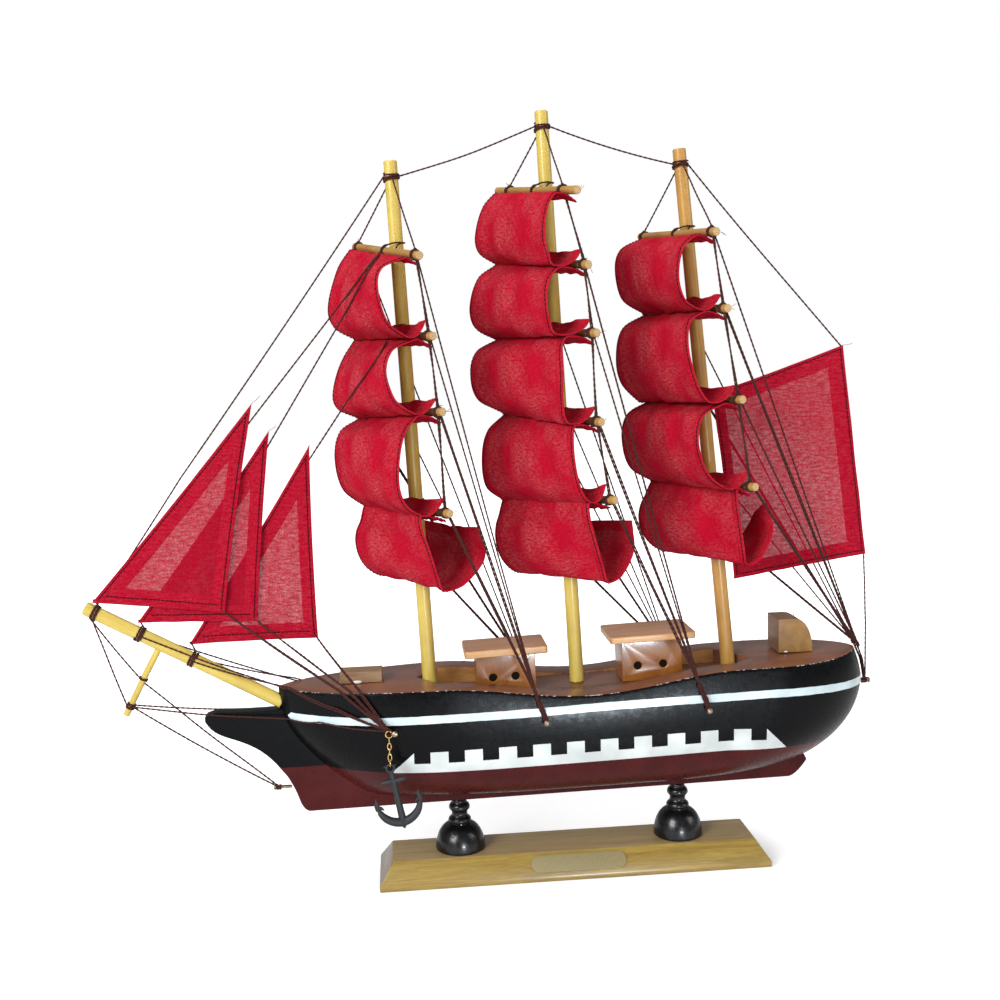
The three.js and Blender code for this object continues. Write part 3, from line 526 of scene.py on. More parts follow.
def faced_wood(name, tones, stretch, gloss, coat):
    """Wood whose faces differ: tones gives (light, dark) for the top, the sides and the ends."""
    s = Shader(name)
    grain = s.coords("Object", stretch)
    figure = s.noise(grain, 0.4, 4, 0.6, 0.8)
    fibre = s.noise(grain, 3.2, 3, 0.7)
    both = s.sums("MULTIPLY_ADD", fibre, 0.4, s.sums("MULTIPLY", figure, 0.6))
    tone = s.remap(both, 0.3, 0.7, 0.0, 1.0)
    normal = s.node("ShaderNodeNewGeometry").outputs["True Normal"]
    parts = s.node("ShaderNodeSeparateXYZ", {"Vector": normal}).outputs
    top, sides, ends = (s.mix(tone, dark, light) for light, dark in tones)
    color = s.mix(s.remap(parts["Z"], 0.75, 0.9, 0.0, 1.0), sides, top)
    end_share = s.remap(s.sums("ABSOLUTE", parts["X"]), 0.55, 0.75, 0.0, 1.0)
    color = s.mix(end_share, color, ends)
    rough = s.remap(fibre, 0.3, 0.7, gloss - 0.05, gloss + 0.1)
    return s.done(Base_Color=color, Roughness=rough, Normal=s.bump(both, 0.08), Coat_Weight=coat,
                  Coat_Roughness=0.2)


def gloss_paint(name, color, rough, waterline=None, specks=0.0, shine=0.3):
    """Brushed-on gloss paint. With a waterline, the second colour lies below it."""
    s = Shader(name)
    place = s.coords("Object")
    peel = s.noise(place, 0.45, 3, 0.55)
    brushed = s.noise(s.coords("Object", (0.06, 1, 1)), 1.4, 3, 0.6)
    shade = s.remap(s.noise(place, 0.09, 2), 0.3, 0.7, 0.0, 1.0)
    tone = s.mix(shade, tuple(0.75 * c for c in color), color)
    if waterline is not None:
        below, heights = waterline
        parts = s.node("ShaderNodeSeparateXYZ", {"Vector": place}).outputs
        span = s.remap(parts["X"], -155, 130, 0.0, 1.0)
        level = s.ramp(span, [(t, (h - 40) / 20) for t, h in heights])
        level = s.sums("MULTIPLY_ADD", level, 20.0, 40.0)
        under = s.sums("LESS_THAN", parts["Z"], level)
        lower = s.mix(shade, tuple(0.7 * c for c in below), below)
        tone = s.mix(under, tone, lower)
    if specks > 0:
        dust = s.sums("GREATER_THAN", s.noise(place, 0.9, 4, 0.8), 1 - specks)
        tone = s.mix(dust, tone, (0.45, 0.44, 0.42))
    relief = s.bump(peel, 0.035, s.bump(brushed, 0.02))
    gloss = s.remap(peel, 0.3, 0.7, rough - 0.05, rough + 0.1)
    return s.done(Base_Color=tone, Roughness=gloss, Normal=relief, Specular_IOR_Level=shine,
                  Coat_Weight=0.3 * shine, Coat_Roughness=0.1)


def cotton(name, color, pale, sheer, wear_and_backlight, thick, streak=(0.34, 1.15)):
    """Plain-weave cotton. sheer is how much of the light passes straight through the weave's holes,
    the argument after it how strongly the colour pale shows in the thin places of the weave, which paints the glow of
    light through them, thick how much of that painted glow is left where the cloth is dense, and streak how long and
    how fine the uneven threads are."""
    s = Shader(name)
    plane = s.coords("UV")
    warp = s.wave(s.coords("UV", (1.0, 0.0, 0.0)), 0.9)
    weft = s.wave(s.coords("UV", (0.0, 1.0, 0.0)), 0.9, direction="Y")
    weave = s.sums("MULTIPLY", warp, weft)
    long, fine = streak
    slub = s.noise(s.coords("UV", (long, fine, 1)), 0.9, 3, 0.7)
    slub_across = s.noise(s.coords("UV", (fine, long, 1)), 0.9, 3, 0.7)
    grain = s.noise(plane, 1.3, 3, 0.75)
    fleck = s.sums("MULTIPLY_ADD", slub_across, 0.18, s.sums("MULTIPLY", grain, 0.3))
    fleck = s.sums("MULTIPLY_ADD", slub, 0.62, fleck)
    patch = s.remap(s.noise(plane, 0.06, 2), 0.38, 0.62, thick, 1.0)
    light = s.sums("MULTIPLY", s.remap(fleck, 0.47, 0.66, 0.0, 1.0), patch)
    # Painted light: the colour pale in the thin places of the weave paints the glow of light shining through the
    # cloth.
    tone = s.mix(s.sums("MULTIPLY", light, wear_and_backlight), color, pale)
    tone = s.mix(s.remap(grain, 0.35, 0.7, 0.35, 0.0), tone, tuple(0.55 * c for c in color))
    relief = s.bump(fleck, 0.12, s.bump(weave, 0.07))
    s.done(Base_Color=tone, Roughness=0.95, Normal=relief, Specular_IOR_Level=0.03)
    through = s.node("ShaderNodeBsdfTranslucent", {"Color": tone, "Normal": relief})
    glow = s.node("ShaderNodeMixShader", {"Fac": 0.25})
    s.put(glow.inputs[1], s.surface.outputs[0])
    s.put(glow.inputs[2], through.outputs[0])
    holes = s.node("ShaderNodeBsdfTransparent", {"Color": (1.0, 0.93, 0.94)})
    # Light has to pass both faces of the cloth, so each face lets through the square root.
    open_share = s.sums("MULTIPLY", s.sums("MULTIPLY_ADD", light, 0.55, 0.38), sheer)
    cloth = s.node("ShaderNodeMixShader", {"Fac": open_share})
    s.put(cloth.inputs[1], glow.outputs[0])
    s.put(cloth.inputs[2], holes.outputs[0])
    s.put(s.output.inputs["Surface"], cloth.outputs[0])
    return s.material


def twine(name, light, dark):
    s = Shader(name)
    plane = s.coords("UV")
    # Painted light: the twine's light colour, laid in bands along the twist, paints the highlights on the strands'
    # crests over its dark colour.
    painted_strand_highlight = s.wave(s.node("ShaderNodeVectorRotate", {"Vector": plane, "Angle": 0.9}, rotation_type="Z_AXIS")
                   .outputs["Vector"], 0.9, 1.0)
    fuzz = s.noise(plane, 3.0, 3, 0.7)
    color = s.mix(s.sums("MULTIPLY", painted_strand_highlight, fuzz), dark, light)
    return s.done(Base_Color=color, Roughness=0.75, Normal=s.bump(fuzz, 0.08), Specular_IOR_Level=0.12)


def metal(name, color, rough, wear_and_backlight, metallic=1.0, scratch=(1, 1, 1), depth=0.03):
    s = Shader(name)
    place = s.coords("Object")
    stains = s.noise(place, 0.9, 4, 0.65)
    brushed = s.noise(s.coords("Object", scratch), 3.0, 3, 0.7)
    tone = s.mix(s.remap(stains, 0.35, 0.68, 0.0, 1.0), color, wear_and_backlight)
    gloss = s.remap(s.sums("ADD", stains, brushed), 0.7, 1.3, rough - 0.08, rough + 0.15)
    return s.done(Base_Color=tone, Roughness=gloss, Metallic=metallic, Normal=s.bump(brushed, depth))


PLINTH_WOOD = faced_wood(
    "plinth_wood",
    [((0.46, 0.32, 0.14), (0.25, 0.165, 0.065)),
     ((0.37, 0.255, 0.045), (0.16, 0.09, 0.014)),
     ((0.2, 0.145, 0.075), (0.08, 0.055, 0.03))],
    (0.055, 0.8, 0.8), 0.34, 0.35,
)
POST_PAINT = gloss_paint("post_gloss", (0.004, 0.004, 0.005), 0.26, shine=0.4)
HULL_WATERLINE = [(0.0, 50.6), (0.16, 50.9), (0.28, 51.1), (0.4, 52.4), (0.55, 53.4), (0.66, 54.1),
                  (0.76, 54.8), (0.86, 53.6), (1.0, 51.6)]
HULL_PAINT = gloss_paint("hull_gloss", (0.0022, 0.0025, 0.0032), 0.26, ((0.07, 0.0095, 0.0095), HULL_WATERLINE),
                         specks=0.1, shine=0.1)
STRIPE_PAINT = gloss_paint("stripe_white", (0.6, 0.72, 0.76), 0.3)
BATTLEMENT_PAINT = gloss_paint("battlement_white", (0.63, 0.68, 0.68), 0.35)
DECK_STAIN = wood("deck_stain", (0.29, 0.12, 0.065), (0.15, 0.055, 0.03), "Object", (0.05, 1, 1), 0.34,
                  0.06, 0.5)
WELL_VARNISH = wood("well_varnish", (0.6, 0.31, 0.085), (0.24, 0.1, 0.022), "Object", (0.08, 1, 0.5), 0.42,
                    0.25)
HOUSE_WOOD = wood("house_wood", (0.36, 0.135, 0.026), (0.18, 0.06, 0.011), "Object", (0.35, 0.35, 0.12), 0.3,
                  0.07, 0.5)
ROOF_WOOD = faced_wood(
    "roof_wood",
    [((0.56, 0.32, 0.18), (0.32, 0.16, 0.085)),
     ((0.62, 0.36, 0.15), (0.4, 0.2, 0.07)),
     ((0.5, 0.28, 0.11), (0.3, 0.14, 0.05))],
    (0.1, 0.9, 0.9), 0.36, 0.2,
)
HATCH_WOOD = wood("hatch_wood", (0.36, 0.23, 0.12), (0.18, 0.1, 0.05), "Object", (0.12, 1, 1), 0.4, 0.08)
HOOD_SIDE = wood("hood_end_grain", (0.42, 0.24, 0.07), (0.2, 0.1, 0.025), "Object", (0.3, 0.3, 0.3), 0.4, 0.1)
HOOD_TOP = wood("hood_top", (0.27, 0.155, 0.085), (0.14, 0.07, 0.035), "Object", (1, 0.08, 1), 0.42, 0.08)
PALE_SPAR = wood("pale_spar", (0.66, 0.53, 0.12), (0.48, 0.35, 0.07), "UV", (0.9, 0.035, 1), 0.32, 0.04, 0.25)
AMBER_SPAR = wood("amber_spar", (0.6, 0.35, 0.095), (0.38, 0.19, 0.04), "UV", (0.9, 0.035, 1), 0.32, 0.04, 0.25)
YARD_WOOD = wood("yard_wood", (0.46, 0.27, 0.08), (0.26, 0.13, 0.035), "UV", (1.1, 0.06, 1), 0.42, 0.05)
DOWEL_END = end_grain("dowel_end", (0.56, 0.4, 0.19), (0.32, 0.19, 0.075))
# The pale colour of each cotton and the number after sheer paint the glow of light through its thin weave as pale
# flecks.
SAILCLOTH = cotton("crimson_cotton", (0.48, 0.0025, 0.026), (0.56, 0.05, 0.075), 0.4, 0.5, 0.75)
SAIL_HEM = cotton("crimson_hem", (0.47, 0.002, 0.024), (0.54, 0.05, 0.07), 0.03, 0.6, 0.75)
SQUARE_CLOTH = cotton("crimson_cotton_square", (0.56, 0.003, 0.028), (0.64, 0.18, 0.18), 0.09, 0.62, 0.1, (0.5, 1.2))
SQUARE_HEM = cotton("crimson_hem_square", (0.55, 0.003, 0.026), (0.6, 0.1, 0.11), 0.03, 0.6, 0.1, (0.5, 1.2))
# Each thread's first colour paints the highlights on its strands; the second is its own dark colour.
STITCH = twine("stitch_thread", (0.075, 0.003, 0.006), (0.02, 0.0015, 0.003))
TWINE = twine("rigging_twine", (0.16, 0.05, 0.04), (0.012, 0.004, 0.004))
RED_THREAD = twine("loose_sail_thread", (0.45, 0.02, 0.03), (0.2, 0.006, 0.01))
PIN_BRASS = metal("pin_brass", (0.44, 0.33, 0.24), 0.3, (0.13, 0.085, 0.055))
CHAIN_GOLD = metal("chain_gold", (0.85, 0.58, 0.2), 0.24, (0.45, 0.25, 0.07))
ANCHOR_IRON = metal("anchor_black", (0.006, 0.008, 0.01), 0.52, (0.014, 0.017, 0.02), 0.1)
PLATE_METAL = metal("plate_olive", (0.3, 0.25, 0.125), 0.4, (0.27, 0.222, 0.108), 0.35, (0.03, 0.6, 0.6), 0.0)
# Near-black painted shade for the bottoms of the portholes.
PORTHOLE_SHADE = gloss_paint("porthole_bottom", (0.01, 0.006, 0.003), 0.7, shine=0.04)
CHIPPED = gloss_paint("bare_primer", (0.52, 0.47, 0.42), 0.6)
GLUE = gloss_paint("dried_glue", (0.82, 0.82, 0.78), 0.25)

# ---------------------------------------------------------------- stand


def build_stand():
    dressed("stand_base", PLINTH_WOOD, bevel=0.5)
    dressed("name_plate", PLATE_METAL, bevel=0.12)
    for end in ("fore", "aft"):
        low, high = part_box(f"stand_post_{end}")
        middle, foot = (low.x + high.x) / 2 / MM, low.z / MM
        stretch = (high.z - low.z) / MM / 21.6  # the profile is 21.6 mm high
        dome = [(4.2 + 6.3 * math.cos(t), 11 * math.sin(t)) for t in np.linspace(0, math.pi / 2, 14)]
        beads = [(4.15, 11.25), (4.6, 11.6), (4.85, 12.2), (4.8, 12.8), (4.5, 13.4), (3.75, 14.0), (3.35, 14.7),
                 (3.3, 15.6), (3.5, 16.4), (4.05, 17.0), (4.45, 17.6), (4.5, 18.2), (4.25, 18.9), (4.0, 19.4),
                 (3.4, 19.9), (3.1, 20.6), (3.1, 21.45), (2.95, 21.6), (0, 21.6)]
        profile = [(0, 0), (10.2, 0), (10.5, 0.35)] + dome[1:] + beads
        builder = Builder()
        builder.turned([(r, h * stretch) for r, h in profile], lambda p: p + vec(middle, 0, foot), 64)
        builder.make(f"turned_post_{end}", POST_PAINT, "ship", "post_black", [f"stand_post_{end}"], 50)


# ---------------------------------------------------------------- hull


def hull_block():
    """The painted block before its well is routed out."""
    stations, levels = 150, 44
    level = np.linspace(0, 1, levels) ** 1.25
    along = (1 - np.cos(np.linspace(0, math.pi, stations))) / 2
    rows, columns = np.meshgrid(along, level, indexing="ij")
    x = lerp(stem_at(columns), counter_at(columns), rows)
    y = half_breadth(x, columns)
    z = lerp(keel_line(x), sheer_line(x), columns)
    port = np.stack([x, -y, z], -1)
    starboard = np.stack([x, y, z], -1)[:, ::-1]
    ring = np.concatenate([port, starboard], 1)
    around = 2 * levels
    faces = bands(stations, around)
    for first, flip in ((0, False), ((stations - 1) * around, True)):
        for k in range(levels - 1):
            quad = (first + k, first + around - 1 - k, first + around - 2 - k, first + k + 1)
            faces.append(quad[::-1] if flip else quad)
    mesh = bpy.data.meshes.new("hull_block")
    mesh.from_pydata((ring.reshape(-1, 3) * MM).tolist(), [], faces)
    return linked("hull_block", mesh)


def well_tool():
    """What the router removed, with the slight waver of a hand-guided tool."""
    corners = [(WELL_FORE, 0), (WELL_FORE + 9, -WELL_HALF), (WELL_AFT - 8, -WELL_HALF), (WELL_AFT, -6),
               (WELL_AFT - 11, WELL_HALF), (WELL_FORE + 9, WELL_HALF)]
    outline = []
    for (x0, y0), (x1, y1) in zip(corners, corners[1:] + corners[:1]):
        steps = max(1, int(math.hypot(x1 - x0, y1 - y0) / 2.5))
        for i in range(steps):
            x, y = lerp(x0, x1, i / steps), lerp(y0, y1, i / steps)
            outline.append((x, y + 0.12 * math.sin(x * 1.9) + 0.1 * math.sin(x * 0.63 + 1)))
    n = len(outline)
    above_deck = 105
    low = [(x * MM, y * MM, well_floor(x) * MM) for x, y in outline]
    high = [(x * MM, y * MM, above_deck * MM) for x, y in outline]
    mesh = bpy.data.meshes.new("well_tool")
    mesh.from_pydata(low + high, [], bands(2, n) + [tuple(reversed(range(n))), tuple(range(n, 2 * n))])
    return linked("well_tool", mesh)


def baked(obj):
    """Replaces an object's mesh by the result of its modifiers."""
    graph = bpy.context.evaluated_depsgraph_get()
    mesh = bpy.data.meshes.new_from_object(obj.evaluated_get(graph))
    obj.modifiers.clear()
    obj.data = mesh
    return mesh


def build_hull():
    hull, tool = hull_block(), well_tool()
    settings = {
        "BOOLEAN": {"operation": "DIFFERENCE", "solver": "EXACT", "object": tool},
        "BEVEL": {"width": 0.35 * MM, "segments": 2, "angle_limit": math.radians(48), "limit_method": "ANGLE"},
    }
    for kind, values in settings.items():
        modifier = hull.modifiers.new(kind.lower(), kind)
        for key, value in values.items():
            setattr(modifier, key, value)
    mesh = baked(hull)
    bpy.data.objects.remove(tool)
    for paint in (HULL_PAINT, DECK_STAIN, WELL_VARNISH):
        mesh.materials.append(paint)
    # Deck, well floor and the well's slanted ends are stained; only its long walls are varnished.
    for face in mesh.polygons:
        x, y, z = face.center / MM
        inside = abs(y) < WELL_HALF + 0.6 and WELL_FORE - 0.5 < x < WELL_AFT + 0.5
        if face.normal.z > 0.8 and z > 76:
            face.material_index = 1
        elif inside and z > well_floor(x) - 0.1 and z > 77:
            face.material_index = 2 if abs(face.normal.x) < 0.3 else 1
    mesh.polygons.foreach_set("use_smooth", [True] * len(mesh.polygons))
    mesh.set_sharp_from_angle(angle=math.radians(32))
    hull.name = "painted_hull"
    enrol(hull, "ship", ["hull"])
    dressed("keel_board", HULL_PAINT, bevel=0.45)


STRIPE_HEIGHTS = [(-121, 73.8), (-116, 73.8), (-77, 73.6), (-63, 74.4), (-17, 74.9), (14, 76.1), (58, 77.1),
                  (90, 77.8), (110, 77.2), (127, 76.1)]


def stripe_height(x):
    """Height of the stripe's middle, with the corners of the list above rounded off."""
    xs, zs = zip(*STRIPE_HEIGHTS)
    spread = [np.interp(x + shift, xs, zs) for shift in (-12, -6, 0, 6, 12)]
    return np.mean(spread, 0)


def on_skin(x, z, side):
    """A point on the hull's skin."""
    return np.stack([x, side * side_at(x, z), z], -1)


def build_stripe():
    """The white stripe, one brush stroke that starts near the stem and runs round the stern."""
    start, end = -117.2, COUNTER - 0.002
    x = start + (end - start) * np.sin(np.linspace(0, 1, 260) * math.pi / 2)
    half_width = 1.6 * np.sqrt(np.clip((x - start) / 1.4, 0.02, 1)) + 0.07 * np.sin(x * 0.9) * np.sin(x * 0.37)
    heights = stripe_height(x)
    rows = []
    for share in (-1, -0.5, 0, 0.5, 1):
        z = heights + share * half_width
        reach = np.minimum(x, counter_at((z - keel_line(x)) / (sheer_line(x) - keel_line(x))) - 0.001)
        port = on_skin(reach, z, -1)
        rows.append(np.concatenate([port, (port * vec(1, -1, 1))[::-1]]))
    grid = np.stack(rows, 1)
    tangent = np.gradient(grid, axis=0)
    outward = unit(np.cross(tangent, np.gradient(grid, axis=1)))
    outward[grid[..., 1] * outward[..., 1] < 0] *= -1
    builder = Builder()
    builder.sheet(grid - outward * 0.04, outward, 0.3, grid[..., [0, 2]])
    builder.make("white_stripe", STRIPE_PAINT, "ship", "hull_paint", sharp=50)


def waterline(x):
    xs = [lerp(-155, 130, t) for t, _ in HULL_WATERLINE]
    return np.interp(x, xs, [h for _, h in HULL_WATERLINE])


def patch(builder, x_from, x_to, low, high, side):
    """A patch of thin film on the hull's side. low and high give its edges above the waterline."""
    x = np.linspace(x_from, x_to, max(3, int(abs(x_to - x_from) / 1.2)))
    shares = np.linspace(0, 1, 5)
    z = (waterline(x) + low(x))[:, None] + (high(x) - low(x))[:, None] * shares
    xs = np.repeat(x[:, None], 5, 1)
    grid = on_skin(xs, z, side)
    flare = side_at(xs, z + 0.5) - side_at(xs, z - 0.5)
    taper = side_at(xs + 0.5, z) - side_at(xs - 0.5, z)
    outward = unit(np.stack([-taper, np.full_like(xs, side), -flare], -1))
    builder.sheet(grid - outward * 0.04, outward, 0.26, grid[..., [0, 2]])


def build_battlements():
    """White battlements over the waterline, with a pointed tooth at both ends."""
    start, band, full = -75.8, 4.2, 4.2 + 4.9
    point, tooth, gap, count = 9.4, 7.2, 6.55, 10
    slope = full / point
    edge = band / slope
    end = start + 2 * point + count * tooth + (count + 1) * gap

    def flat(height):
        return lambda x: 0 * x + height

    def rising(x, more=0.0):
        return np.maximum((x - start) * slope, 0.02) + more

    def falling(x, more=0.0):
        return np.maximum((end - x) * slope, 0.02) + more

    for side, name in SIDES:
        builder = Builder()
        patch(builder, start, start + edge, flat(0), rising, side)
        patch(builder, start + edge, end - edge, flat(0), flat(band), side)
        patch(builder, end - edge, end, flat(0), falling, side)
        patch(builder, start + edge, start + point, flat(band), lambda x: rising(x, 0.01), side)
        patch(builder, end - point, end - edge, flat(band), lambda x: falling(x, 0.01), side)
        for i in range(count):
            first = start + point + gap + i * (tooth + gap)
            patch(builder, first, first + tooth, flat(band), flat(full), side)
        builder.make(f"battlements_{name}", BATTLEMENT_PAINT, "ship", "hull_paint", sharp=50)


def flake(builder, centre, normal, along, length, width):
    """A chip in the paint: an irregular flat patch with a low dome."""
    normal, along = unit(normal), unit(along)
    across = np.cross(normal, along)
    corners, rise = 7, 0.07
    jitter = rng.uniform(0.6, 1.15, corners)
    rim = [centre + along * math.cos(a) * length * j + across * math.sin(a) * width * j
           for a, j in zip(round_turn(corners), jitter)]
    points = np.vstack([rim, centre + normal * rise])
    builder.add(points, [(i, (i + 1) % corners, corners) for i in range(corners)])


def build_wear():
    """Chips in the paint along the deck's edge and dried varnish along the well."""
    builder = Builder()
    for side in (-1, 1):
        for x in rng.uniform(-112, 121, 130):
            crowd = 0.5 + 0.5 * math.sin(x * 0.21 + side)
            if rng.random() > 0.35 + 0.65 * crowd:
                continue
            centre = vec(x, side * (float(half_breadth(x, 1.0)) - 0.02), float(sheer_line(x)) - 0.04)
            flake(builder, centre, vec(0, side, 1), FORE_AND_AFT, rng.uniform(0.25, 1.1), rng.uniform(0.1, 0.24))
        for x in rng.uniform(WELL_FORE + 10, WELL_AFT - 12, 60):
            z = float(well_floor(x))
            height = rng.choice([0.15, float(sheer_line(x)) - z - 0.02])
            if height < 0:
                continue
            centre = vec(x, side * (WELL_HALF - 0.05), z + height)
            flake(builder, centre, vec(0, -side, 0.6), FORE_AND_AFT, rng.uniform(0.2, 0.7), rng.uniform(0.08, 0.2))
    builder.make("paint_chips", CHIPPED, "ship", "hull_paint")


def blob(builder, centre, size):
    """A bead of dried glue."""
    rows, columns = 7, 12
    polar, turn = np.meshgrid(np.linspace(0, math.pi, rows), round_turn(columns), indexing="ij")
    lump = 1 + 0.12 * np.sin(3 * turn + centre[0]) * np.sin(polar)
    points = np.stack([np.sin(polar) * np.cos(turn) * lump, np.sin(polar) * np.sin(turn) * lump,
                       np.cos(polar)], -1) * np.asarray(size) + np.asarray(centre)
    builder.add(points, bands(rows, columns, flip=True))


# ---------------------------------------------------------------- deck furniture


# Deckhouses: where their portholes are, and the portholes' height at the middle of the house.
HOUSES = {"fore": ((-32.3, -22.9), 85.8, -26.7), "aft": ((28.5, 39.3), 87.8, 34.65)}
HOUSE_HALF, HOUSE_SLOPE = 8.0, 0.03
PORTHOLE_RADIUS, PORTHOLE_DEPTH = 1.75, 0.5

# Beads of dried glue: centre and half axes.
GLUE_BEADS = [
    ((-88.5, -4.9, 85.9), (2.2, 0.7, 0.7)),
    ((-95.8, -3.6, 85.6), (0.5, 0.5, 0.35)),
    ((45.8, -8.1, 82.0), (0.7, 0.3, 0.35)),
    ((93.2, -3.9, 89.2), (0.8, 0.3, 0.35)),
    ((-58.2, 3.1, 82.1), (0.9, 0.5, 0.4)),
]


def build_deck_furniture():
    for end, (portholes, height, middle) in HOUSES.items():
        dressed(f"{end}_deckhouse", HOUSE_WOOD, bevel=0.3)
        dressed(f"{end}_deckhouse_roof", ROOF_WOOD, bevel=0.25)
        # Painted shade: a near-black disk at the bottom of each shallow porthole stands for the dark inside a drilled
        # hole.
        bottoms = Builder()
        for side in (-1, 1):
            for x in portholes:
                z = height + HOUSE_SLOPE * (x - middle)
                inner = vec(x, side * (HOUSE_HALF - PORTHOLE_DEPTH), z)
                bottoms.tube([inner, inner - vec(0, side * 0.25, 0)], PORTHOLE_RADIUS - 0.02, 28)
        bottoms.make(f"{end}_porthole_bottoms", PORTHOLE_SHADE, "ship", "house_wood", sharp=40)
    dressed("foredeck_hatch", HATCH_WOOD, bevel=0.35)
    hood = dressed("companion_hood", HOOD_TOP, bevel=0.3, extra=[HOOD_SIDE])
    for face in hood.data.polygons:
        if abs(face.normal.y) > 0.8:
            face.material_index = 1
    glue = Builder()
    for centre, size in GLUE_BEADS:
        blob(glue, centre, size)
    glue.make("glue_beads", GLUE, "ship", "hull_paint")


# ---------------------------------------------------------------- spars


def mast_at(mast, z):
    (foot_x, foot_z), (head_x, head_z) = mast["foot"], mast["head"]
    return vec(lerp(foot_x, head_x, (z - foot_z) / (head_z - foot_z)), 0, z)


class Yard:
    """A yard's centre, its port-to-starboard direction and the way its sail fills."""

    def __init__(self, mast, height, half, brace, cant):
        # The highest yard is tied well inboard of its ends, every other one close to them.
        self.tie = 11.2 if height > 280 else 3.6
        turn = math.radians(brace)
        self.forward = vec(-math.cos(turn), -math.sin(turn), 0)
        self.centre = mast_at(mast, height) + self.forward * (MAST_RADIUS + YARD_RADIUS + GAP)
        self.starboard = vec(-math.sin(turn), math.cos(turn), cant)
        self.half = half
        self.height = height

    def at(self, reach):
        return self.centre + np.multiply.outer(reach, self.starboard)

    def tip(self, side):
        """Where thread is made fast just outside the end of the yard."""
        return self.at(side * (self.half - self.tie)) + vec(0, 0, YARD_RADIUS + 0.35)


YARDS = {name: [Yard(mast, *row) for row in mast["yards"]] for name, mast in MASTS.items()}


def dowel(name, node, paint, slot, path, radius, sides, chamfer):
    """A round stick with end grain at its ends."""
    builder = Builder()
    builder.tube(path, radius, sides, end_slot=1, chamfer=chamfer)
    builder.make(name, [paint, DOWEL_END], "ship", slot, [node], 40)


def build_spars():
    for name, mast in MASTS.items():
        heights = np.linspace(well_floor(mast["foot"][0]) + 0.1, mast["head"][1], 40)
        radii = np.linspace(MAST_RADIUS, MASTHEAD_RADIUS, 40)
        paint = AMBER_SPAR if name == "mizzen" else PALE_SPAR
        dowel(f"{name}_mast_dowel", f"{name}mast", paint, "spar_wood", [mast_at(mast, z) for z in heights],
              radii, 40, 0.35)
        for i, yard in enumerate(YARDS[name]):
            warp = 0.25 * math.sin(2.1 * i + len(name))
            reach = np.linspace(-yard.half, yard.half, 17)
            path = yard.at(reach)
            path[:, 2] += warp * (1 - (reach / yard.half) ** 2)
            dowel(f"{name}_yard_dowel_{i + 1}", f"{name}_yard_{i + 1}", YARD_WOOD, "yard_wood", path,
                  YARD_RADIUS, 28, 0.22)
    tip, heel = (vec(x, 0, z) for x, z in (BOWSPRIT_TIP, BOWSPRIT_HEEL))
    start = heel - (tip - heel) * 0.02
    dowel("bowsprit_dowel", "bowsprit", PALE_SPAR, "spar_wood", [lerp(start, tip, t) for t in np.linspace(0, 1, 30)],
          BOWSPRIT_RADIUS, 40, 0.35)
    dowel("martingale_dowel", "martingale_boom", PALE_SPAR, "yard_wood",
          [vec(-168.2, 0, 103.8), vec(-174, 0, 93.5), vec(-183.4, 0, 75.8)], BOOM_RADIUS, 24, 0.2)


# ---------------------------------------------------------------- sails


HEM_WIDTH = 4.4
HEM_SHARES = np.linspace(0, 1, 12)
CLOTH = 0.3
HEM = 0.6
SEAM = 1.25  # from a sail's edge to its row of stitches
STITCH_PITCH, STITCH_RADIUS = 1.7, 0.22


def spline(knots, values, t):
    """A smooth curve through values at the given knots. Values may differ from place to place."""
    values = np.stack([np.broadcast_to(v, t.shape) for v in values])
    slopes = np.empty_like(values)
    slopes[1:-1] = (values[2:] - values[:-2]) / (knots[2:] - knots[:-2])[:, None, None]
    slopes[0] = (values[1] - values[0]) / (knots[1] - knots[0])
    slopes[-1] = (values[-1] - values[-2]) / (knots[-1] - knots[-2])
    k = np.clip(np.searchsorted(knots, t, side="right") - 1, 0, len(knots) - 2)
    width = knots[k + 1] - knots[k]
    s = (t - knots[k]) / width
    a, b, slope_a, slope_b = (
        np.take_along_axis(rows, i[None], 0)[0] for rows in (values, slopes) for i in (k, k + 1))
    ends = ((2 * s - 3) * s * s + 1) * a + (3 - 2 * s) * s * s * b
    return ends + (((s - 2) * s + 1) * s * slope_a + (s - 1) * s * s * slope_b) * width


def ripples(seed, amount, across_mm, down_mm, count=5):
    """Soft random folds: a function of the place on the cloth in millimetres."""
    source = np.random.default_rng(seed)
    waves = [(source.uniform(0.6, 1.6) / across_mm, source.uniform(-0.8, 0.8) / down_mm,
              source.uniform(0, TAU), source.uniform(0.4, 1.0)) for _ in range(count)]
    total = sum(w[3] for w in waves)
    return lambda s, q: amount * sum(a * np.sin(TAU * (ks * s + kq * q) + p) for ks, kq, p, a in waves) / total


class Cloth:
    """A sail's middle surface, from place(across, down), each running from 0 to 1."""

    def __init__(self, place, folds):
        self.place = place
        self.folds = folds

    def grid(self, across, down):
        """Points, normals and cloth coordinates on a grid of across and down values."""
        u, v = np.meshgrid(across, down)
        step = 2e-3
        base = self.place(u, v)
        side = self.place(u + step, v) - self.place(u - step, v)
        fall = self.place(u, v + step) - self.place(u, v - step)
        normal = unit(np.cross(side, fall))
        width, height = ((np.linalg.norm(way, axis=-1) / (2 * step)).mean() for way in (side, fall))
        place = np.stack([u * width, v * height], -1)
        points = base + normal * self.folds(place[..., 0], place[..., 1], u, v)[..., None]
        side, fall = np.gradient(points, axis=1), np.gradient(points, axis=0)
        return points, unit(np.cross(side, fall)), place

    def size(self):
        """Mean width and height of the cloth in millimetres."""
        points, _, _ = self.grid(np.linspace(0, 1, 21), np.linspace(0, 1, 41))
        wide = np.linalg.norm(np.diff(points, axis=1), axis=-1).sum(1).mean()
        high = np.linalg.norm(np.diff(points, axis=0), axis=-1).sum(0).mean()
        return wide, high


